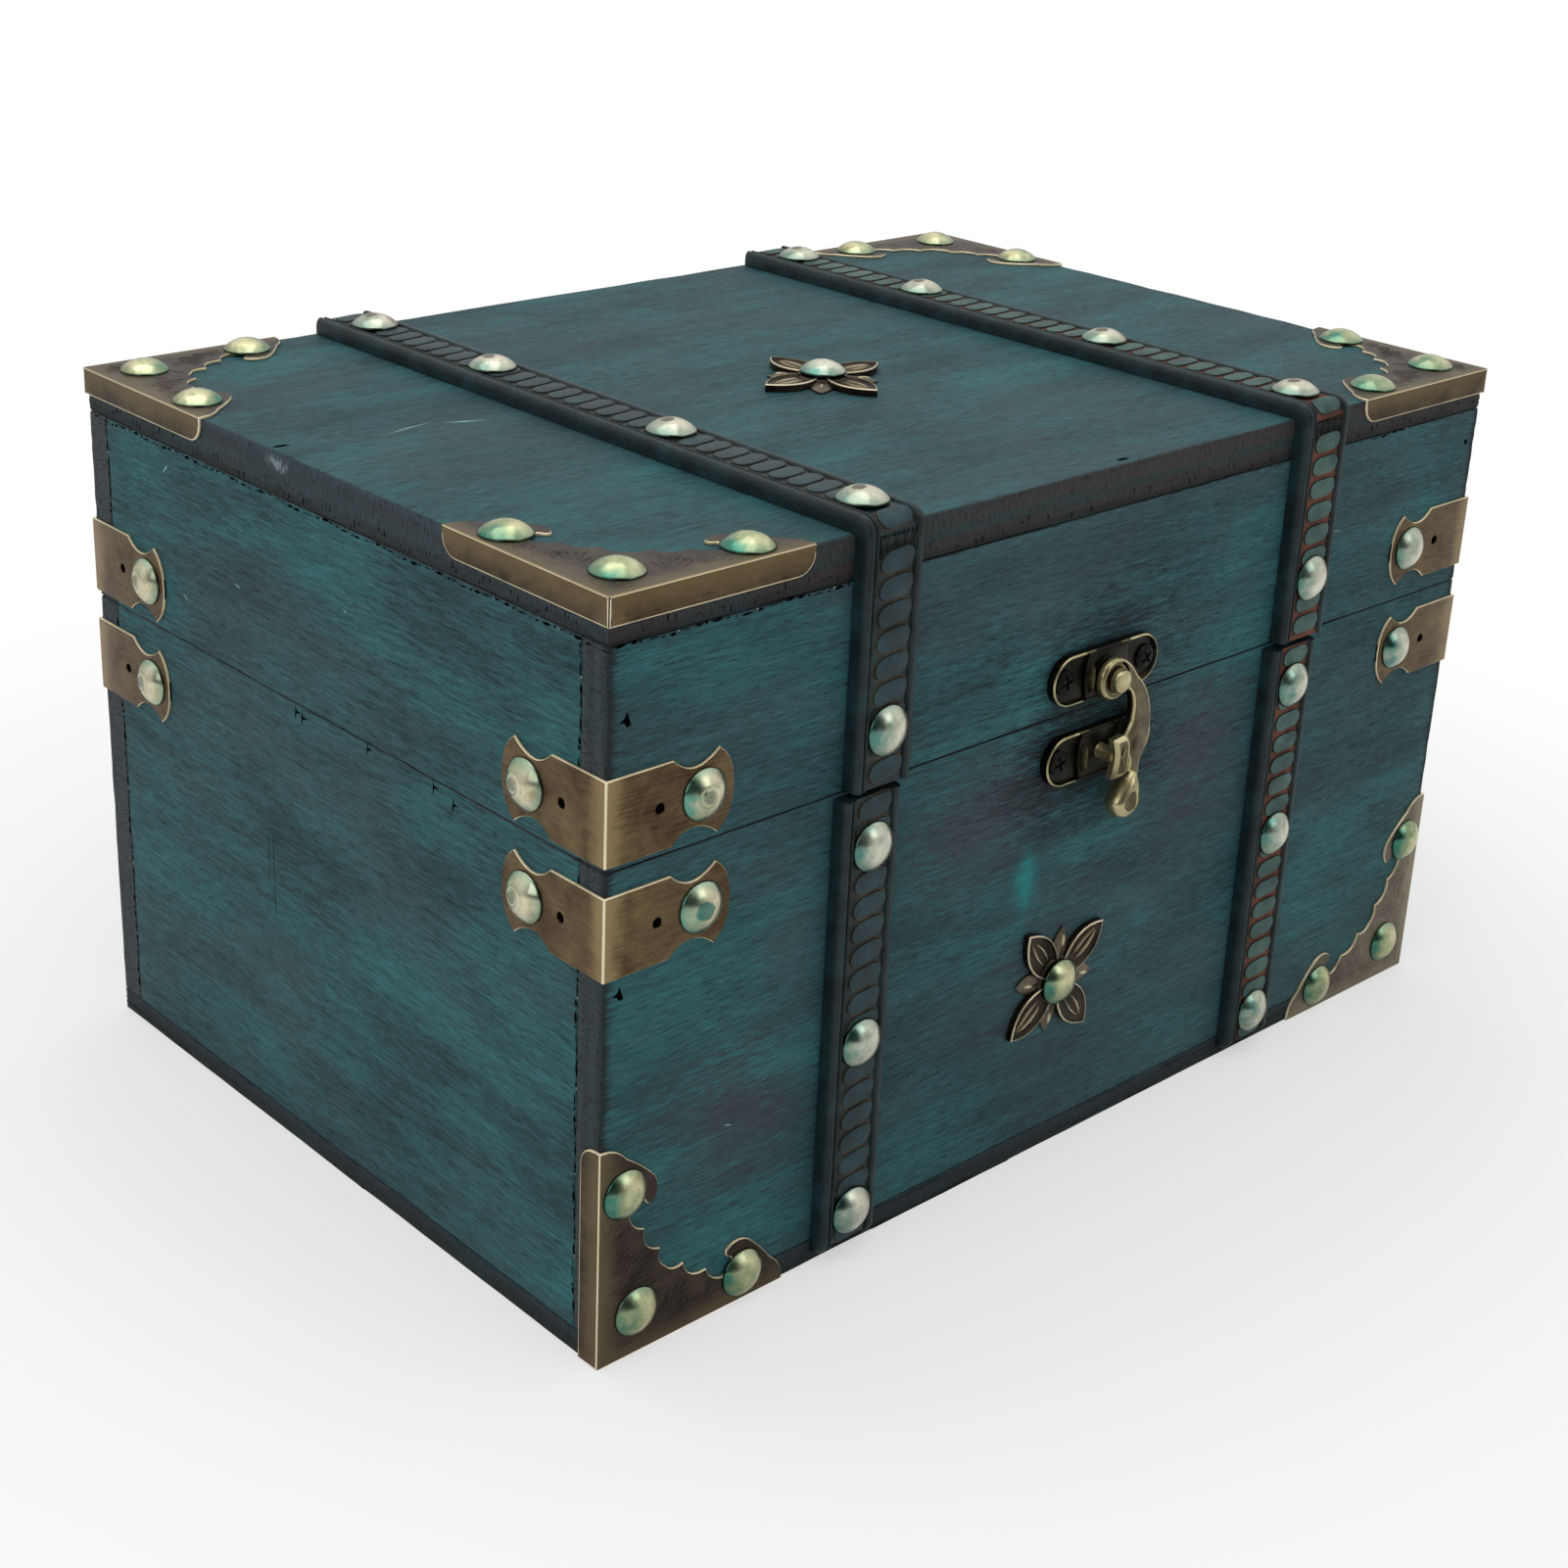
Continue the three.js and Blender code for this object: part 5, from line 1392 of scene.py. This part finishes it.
def petal():
    piece = flat_plate(petal_outline(petal_reach, petal_width), 0, petal_top)
    pick_faces(piece, lambda face: face.normal.z > 0.5)
    bpy.ops.mesh.inset(thickness=0.2 * mm, depth=0.2 * mm)
    bpy.ops.mesh.inset(thickness=0.1 * mm, depth=0)
    bpy.ops.mesh.inset(thickness=0.35 * mm, depth=-0.5 * mm)
    bpy.ops.mesh.inset(thickness=0.6 * mm, depth=-0.15 * mm)
    edit_done()
    rim_from = (petal_top + 0.05) * mm
    coat(piece, (flower_bronze, flower_rim), lambda face: int(face.center.z > rim_from))
    veins = []
    for side in (-1, 1):
        vein = stroke(7.4, 0.34, 0.5)
        for vertex in vein.data.vertices:
            vertex.co.y += side * 0.55 * mm * math.sin(math.pi * vertex.co.x / (7.4 * mm))
        vein.data.transform(Matrix.Translation((6.4 * mm, side * 0.75 * mm, (petal_top - 0.45) * mm))
                            @ Matrix.Rotation(math.radians(-4 * side), 4, "Z"))
        coat(vein, (flower_rim,), lambda face: 0)
        veins.append(vein)
    return joined([piece, *veins])


def ridged_leaf():
    piece = flat_plate(petal_outline(leaf_reach, leaf_width), 0, 0.35)
    pick_faces(piece, lambda face: face.normal.z > 0.5)
    bpy.ops.mesh.inset(thickness=0.12 * mm, depth=0.06 * mm)
    bpy.ops.mesh.inset(thickness=1.2 * mm, depth=0.5 * mm)
    edit_done()
    coat(piece, (silver_brass,), lambda face: 0)
    tip = stroke(3, 0.9, 0.6)
    tip.data.transform(Matrix.Translation((7.2 * mm, 0, 0.55 * mm)))
    coat(tip, (flower_rim,), lambda face: 0)
    return joined([piece, tip])


def flower(node, place, nail_look):
    parts = []
    for shape, first_angle in ((petal(), 0), (ridged_leaf(), 45)):
        for i in range(4):
            turn = Matrix.Rotation(math.radians(first_angle + 90 * i), 4, "Z")
            parts.append(copied(shape, turn))
        drop(shape)
    hub = turned_solid([(5.5, 0), (5.5, 0.9), (5.1, 1.3), (3, 1.65)], 36)
    coat(hub, (flower_bronze,), lambda face: 0)
    piece = joined([hub, *parts])
    piece.data.transform(place @ Matrix.Translation((0, 0, 0.1 * mm)))
    bpy.ops.object.shade_smooth_by_angle(angle=math.radians(35))
    body = node.split("_")[0]
    fit(piece, f"{node}_casting", body, "aged_brass", node)
    nails(f"{node}_nail_head", body, f"{node}_nail", [place @ Matrix.Translation((0, 0, 2.05 * mm))],
          (nail_look,))


turned_flower = Matrix.Rotation(math.radians(37), 4, "Z")
flower("base_flower", on_face("front", -6 * mm, 40.2 * mm) @ turned_flower, golden_nail)
flower("lid_flower", on_face("top", -4 * mm, -7 * mm), plain_nail)
drop(nail_pattern)

# Latch plates: die cast, bronzed black and rubbed on the rims. Each has a dished lobe with a
# screw at both ends and a raised saddle between them, which bears the pivot or the keeper.
plate_width = 31.3
plate_height = 10.5
lobe_floor = 1.1
plate_rim_top = 1.9
latch_screw_reach = 11.9
hook_plate_height = 107.3 * mm
catch_plate_height = 90.3 * mm
latch_bronze = brass("Black bronzed die casting", ("#141311", "#2a2722", "#3b372e", "#3b372e"),
                     all_axes, 0.4)
hook_face = brass("Bronzed zinc, half rubbed", ("#35301f", "#5f5740", "#857b5a", "#857b5a"),
                  all_axes, 0.34)
latch_rim = brass("Black bronze rubbed to brass", ("#7a7252", "#b3a980", "#e0d8ae", "#e0d8ae"),
                  all_axes, 0.26, 0.92)


def latch_plate():
    piece = flat_plate(stadium(plate_width, plate_height, 14), sheet_back, plate_rim_top - 0.2)
    pick_faces(piece, lambda face: face.normal.z > 0.5)
    bpy.ops.mesh.inset(thickness=0.2 * mm, depth=0.2 * mm)
    bpy.ops.mesh.inset(thickness=0.18 * mm, depth=0)
    bpy.ops.mesh.inset(thickness=0.5 * mm, depth=(lobe_floor - plate_rim_top) * mm)
    for x in (-6.6, -3.8, 3.8, 6.6):
        bpy.ops.mesh.select_all(action="SELECT")
        bpy.ops.mesh.bisect(plane_co=(x * mm, 0, 0), plane_no=(1, 0, 0))
    edit_done()
    saddle = flat_plate(
        bends((5.6, -4.7), [((7.2, 0), (5.6, 4.7))]) + bends((-5.6, 4.7), [((-7.2, 0), (-5.6, -4.7))]),
        sheet_back + 0.3, plate_rim_top - 0.1,
    )
    pick_faces(saddle, lambda face: face.normal.z > 0.5)
    bpy.ops.mesh.inset(thickness=0.5 * mm, depth=0.25 * mm)
    edit_done()
    rim_from = (plate_rim_top - 0.25) * mm

    def rim(face):
        if face.center.z < rim_from:
            return 0
        along = abs(face.center.x) / mm
        return 1 if along > 6.6 else 2 * int(along > 3.8 and face.center.y > 0)

    coat(piece, (latch_bronze, latch_rim, hook_face), rim)
    ridge = stroke(6.4, 1.5, 2)
    ridge.data.transform(Matrix.Translation((-5.4 * mm, -3.4 * mm, 1.2 * mm))
                         @ Matrix.Rotation(quarter, 4, "Z"))
    coat(ridge, (hook_face,), lambda face: 0)
    coat(saddle, (latch_bronze,), lambda face: 0)
    plate = joined([piece, saddle, ridge])
    bpy.ops.object.shade_smooth_by_angle(angle=math.radians(30))
    return plate


def boss_and_plate():
    boss = turned_solid([(4.6, 1.0), (4.6, 1.9), (4.2, 2.2), (4.2, 2.5), (3.9, 2.6), (0, 2.6)], 32)
    boss.data.transform(Matrix.Translation((0, -1.1 * mm, 0)))
    coat(boss, (latch_bronze,), lambda face: 0)
    return joined([latch_plate(), boss])


hook_plate = boss_and_plate()
hook_plate.data.transform(on_face("front", 0, hook_plate_height))
fit(hook_plate, "hook_plate_casting", "lid", "latch_bronze", "hook_plate")
catch_plate = latch_plate()
catch_plate.data.transform(on_face("front", 0, catch_plate_height))
fit(catch_plate, "catch_plate_casting", "base", "latch_bronze", "catch_plate")

# Screws: small steel pan heads with a cross, blackened.
screw_black = brass("Blackened steel screw", ("#0c0c0c", "#1e1d1b", "#2d2b28", "#2d2b28"), all_axes, 0.45)


def cross_screw(radius, rise):
    piece = turned_solid([(radius, 0), (radius, rise * 0.4), (radius * 0.82, rise * 0.8),
                          (radius * 0.5, rise * 0.97), (0, rise)], 28)
    for width, height in ((radius * 1.15, radius * 0.26), (radius * 0.26, radius * 1.15)):
        bpy.ops.mesh.primitive_cube_add(size=1, location=(0, 0, rise * mm),
                                        scale=(width * mm, height * mm, rise * mm))
        bpy.ops.object.transform_apply(location=True, rotation=True, scale=True)
        cut_away(piece, bpy.context.object)
    coat(piece, (screw_black,), lambda face: 0)
    bpy.ops.object.shade_smooth_by_angle(angle=math.radians(35))
    return piece


latch_screw = cross_screw(2.6, 0.9)
for node, body, height in (("hook_plate", "lid", hook_plate_height),
                           ("catch_plate", "base", catch_plate_height)):
    for i, (x, turn) in enumerate(((-latch_screw_reach, 12), (latch_screw_reach, 38))):
        place = on_face("front", x * mm, height, (lobe_floor + 0.1) * mm)
        screw = copied(latch_screw, place @ Matrix.Rotation(math.radians(turn), 4, "Z"))
        fit(screw, f"{node}_screw_{i + 1}_head", body, "screw_steel", f"{node}_screw_{i + 1}")
drop(latch_screw)

# Hook: a cast arm with an eye round the rivet, a blunt tip behind the keeper and a drop
# shaped thumb knob. Its edges are bevelled and rubbed bright, its face stays brown.
pivot_height = 106.2 * mm
eye_radius = 4.4
hook_low = 2.9
hook_high = 4.7
hook_reach_x = 11.9
hook_reach_down = 27.2
arm_outer = [((0.27, 0.155), (0.55, -0.02)), ((0.94, -0.16), (1, -0.4)), ((1.02, -0.58), (0.86, -0.69)),
             ((0.8, -0.75), (0.81, -0.82)), ((0.82, -0.9), (0.72, -0.98))]
arm_inner = [((0.42, -0.9), (0.52, -0.78)), ((0.6, -0.69), (0.45, -0.64))]
arm_throat = [((0.44, -0.47), (0.5, -0.37)), ((0.56, -0.18), (0.33, -0.11))]


def reached(moves):
    """The shares of the hook's reach as places from the pivot, in millimetres."""
    return [tuple((x * hook_reach_x, y * hook_reach_down) for x, y in move) for move in moves]


def hook_arm():
    outer = bends((0, eye_radius), reached(arm_outer), 6)
    inner = bends(outer[-1], reached(arm_inner), 6)
    tip = [(2.1, -0.6 * hook_reach_down), (2.1, -0.545 * hook_reach_down)]
    throat = bends(tip[1], reached(arm_throat), 6)
    piece = flat_plate((outer + inner[1:] + tip + throat[1:])[::-1], hook_low, hook_high)
    ease_edges(piece, lambda place: place.z > hook_high - 0.01 and place.x ** 2 + place.y ** 2 > 16,
               0.5, 2)
    coat(piece, (hook_face, latch_rim, latch_bronze),
         lambda face: 0 if face.normal.z > 0.99 else int(face.normal.z < 0.05) + 1)
    return piece


def hook_eye():
    piece = turned_solid([(4.2, 2.9), (4.4, 3.1), (4.4, 4.1), (4.05, 4.6), (3.7, 4.7), (3.1, 4.7),
                          (2.9, 4.5), (2.9, 4.2), (0, 4.2)], 36)
    coat(piece, (hook_face, latch_rim, latch_bronze),
         lambda face: 2 if face.center.z < 4.3 * mm and face.center.xy.length < 3 * mm
         else int(face.center.z > 3.3 * mm and face.normal.z < 0.98))
    return piece


def thumb_knob():
    """A round knob pulled out towards the arm, with a dished drop on its face."""
    piece = turned_solid([(3.1, 2.6), (3.8, 3.6), (3.9, 4.6), (3.6, 5.9), (2.9, 6.7), (2.1, 7.0)], 32)
    pick_faces(piece, lambda face: face.normal.z > 0.99 and face.center.z > 6.5 * mm)
    bpy.ops.mesh.inset(thickness=0.25 * mm, depth=-0.12 * mm)
    edit_done()
    for vertex in piece.data.vertices:
        pull = max(0, vertex.co.y / mm) / 3.9
        vertex.co.x += pull ** 2 * 3 * mm
        vertex.co.y += pull ** 2 * 2.4 * mm
        vertex.co.x *= 1 - 0.3 * pull
    dish = 6.95 * mm
    coat(piece, (hook_face, latch_rim),
         lambda face: int(not (face.normal.z > 0.99 and 6 * mm < face.center.z < dish)))
    piece.data.transform(Matrix.Translation((5.3 * mm, -hook_reach_down * mm, 0)))
    return piece


hook = joined([hook_arm(), hook_eye(), thumb_knob()])
hook.data.transform(on_face("front", 0, pivot_height))
bpy.ops.object.shade_smooth_by_angle(angle=math.radians(40))
fit(hook, "swing_hook_casting", "hook", "latch_bronze", "swing_hook")
rivet = turned_solid([(2.5, 5.0), (2.5, 5.7), (2.3, 6.3), (1.7, 6.65), (0, 6.7)], 30)
stem = turned_solid([(1.4, 2.4), (1.4, 5.1)], 20)
for made in (rivet, stem):
    coat(made, (latch_rim,), lambda face: 0)
rivet = joined([rivet, stem])
rivet.data.transform(on_face("front", 0, pivot_height))
bpy.ops.object.shade_smooth_by_angle(angle=math.radians(40))
fit(rivet, "pivot_rivet_head", "lid", "latch_bronze", "pivot_rivet")

# Keeper: a post riveted through the catch plate, with a kidney shaped head that the hook's
# tip slides behind.
head_outline = (
    bends((0.6, -4.5), [((2.9, -4.4), (3.05, -1.6)), ((3.1, 0), (3.05, 1.6)), ((2.9, 4.4), (0.6, 4.5))],
          6)
    + bends((-2.2, 4.1), [((-1.3, 2.2), (-1.2, 0)), ((-1.3, -2.2), (-2.2, -4.1))], 5)
)
head = flat_plate(head_outline, 5.6, 6.9)
pick_faces(head, lambda face: face.normal.z > 0.5)
bpy.ops.mesh.inset(thickness=0.5 * mm, depth=0.5 * mm)
bpy.ops.mesh.inset(thickness=0.3 * mm, depth=0.2 * mm)
bpy.ops.mesh.inset(thickness=0.15 * mm, depth=-0.1 * mm)
edit_done()
coat(head, (hook_face, latch_rim),
     lambda face: int(not (face.normal.z > 0.99 and face.center.z > 7 * mm)))
post = turned_solid([(3.2, 1.2), (3.2, 1.6), (1.7, 2.0), (1.6, 2.2), (1.6, 6)], 24)
coat(post, (latch_rim,), lambda face: 0)
keeper = joined([head, post])
keeper.data.transform(on_face("front", 0, catch_plate_height))
bpy.ops.object.shade_smooth_by_angle(angle=math.radians(40))
fit(keeper, "keeper_casting", "base", "latch_bronze", "keeper")

# Hinges: small butt hinges of sheet brass, browned. Each leaf is notched for the other's
# knuckles, and a pin with flat heads runs through the barrel.
hinge_across = 72
hinge_half = 10
hinge_height = 12
hinge_front = 0.9
hinge_screw_out = 6
hinge_screw_up = 7.8
knuckle_radius = 1.85
knuckle_third = 3.33
barrel_out = 2
hinge_sheet = brass("Browned brass hinge", ("#332a1f", "#57492f", "#7d6b49", "#7d6b49"), all_axes, 0.4)


def hinge_leaf(knuckles, notched):
    """A leaf that rises from the barrel, with knuckles over the given thirds of its width."""
    near = [0.2, 2.1] if notched == "sides" else [2.1, 0.2]
    low_edge = [(-hinge_half, near[1]), (-knuckle_third, near[1]), (-knuckle_third, near[0]),
                (knuckle_third, near[0]), (knuckle_third, near[1]), (hinge_half, near[1])]
    top = bends((hinge_half, hinge_height - 1.6),
                [((hinge_half, hinge_height), (hinge_half - 1.6, hinge_height))])
    outline = low_edge + top + [(-x, y) for x, y in reversed(top)]
    leaf = flat_plate(outline, sheet_back, hinge_front)
    ease_edges(leaf, lambda place: place.z > hinge_front - 0.01, 0.2, 2)
    parts = [leaf]
    for middle in knuckles:
        half = knuckle_third - 0.05
        barrel = turned_solid([(1.55, -half), (knuckle_radius, 0.3 - half), (knuckle_radius, half - 0.3),
                               (1.55, half)], 24)
        barrel.data.transform(Matrix.Translation((middle * mm, 0, barrel_out * mm))
                              @ Matrix.Rotation(quarter, 4, "Y"))
        parts.append(barrel)
    for part in parts:
        coat(part, (hinge_sheet,), lambda face: 0)
    return joined(parts)


outer_thirds = (-2 * knuckle_third, 2 * knuckle_third)
lid_leaf = hinge_leaf((0,), "sides")
base_leaf = hinge_leaf(outer_thirds, "middle")
base_leaf.data.transform(Matrix.Diagonal((1, -1, 1, 1)))
outward_alone(base_leaf)
hinge_pin = turned_solid([(0.8, -11), (1.34, -10.7), (1.34, -10.15), (0.75, -10.1), (0.75, 10.1),
                          (1.34, 10.15), (1.34, 10.7), (0.8, 11)], 24)
hinge_pin.data.transform(Matrix.Translation((0, 0, barrel_out * mm)) @ Matrix.Rotation(quarter, 4, "Y"))
coat(hinge_pin, (hinge_sheet,), lambda face: 0)
hinge_screw = cross_screw(1.98, 0.6)
hinge_screw.data.materials[0] = fold_brass
for side, x in (("left", hinge_across), ("right", -hinge_across)):
    place = on_face("back", x * mm, seam_height)
    for shape, body, name in ((lid_leaf, "lid", "hinge_lid_leaf"), (base_leaf, "base", "hinge_base_leaf"),
                              (hinge_pin, "base", "hinge_pin")):
        made = outward_alone(copied(shape, place))
        bpy.ops.object.shade_smooth_by_angle(angle=math.radians(40))
        fit(made, f"{name}_{side}_brass", body, "hinge_brass", f"{name}_{side}")
screw_row = [hinge * hinge_across + out for hinge in (1, -1)
             for out in (-hinge_screw_out, hinge_screw_out)]
for body, height in (("lid", hinge_screw_up), ("base", -hinge_screw_up)):
    for i, x in enumerate(screw_row):
        place = on_face("back", x * mm, seam_height + height * mm, hinge_front * mm)
        screw = copied(hinge_screw, place @ Matrix.Rotation(math.radians(20 + 35 * i), 4, "Z"))
        fit(screw, f"hinge_{body}_screw_{i + 1}_head", body, "screw_steel", f"hinge_{body}_screw_{i + 1}")
drop(lid_leaf, base_leaf, hinge_pin, hinge_screw)

low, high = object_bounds()
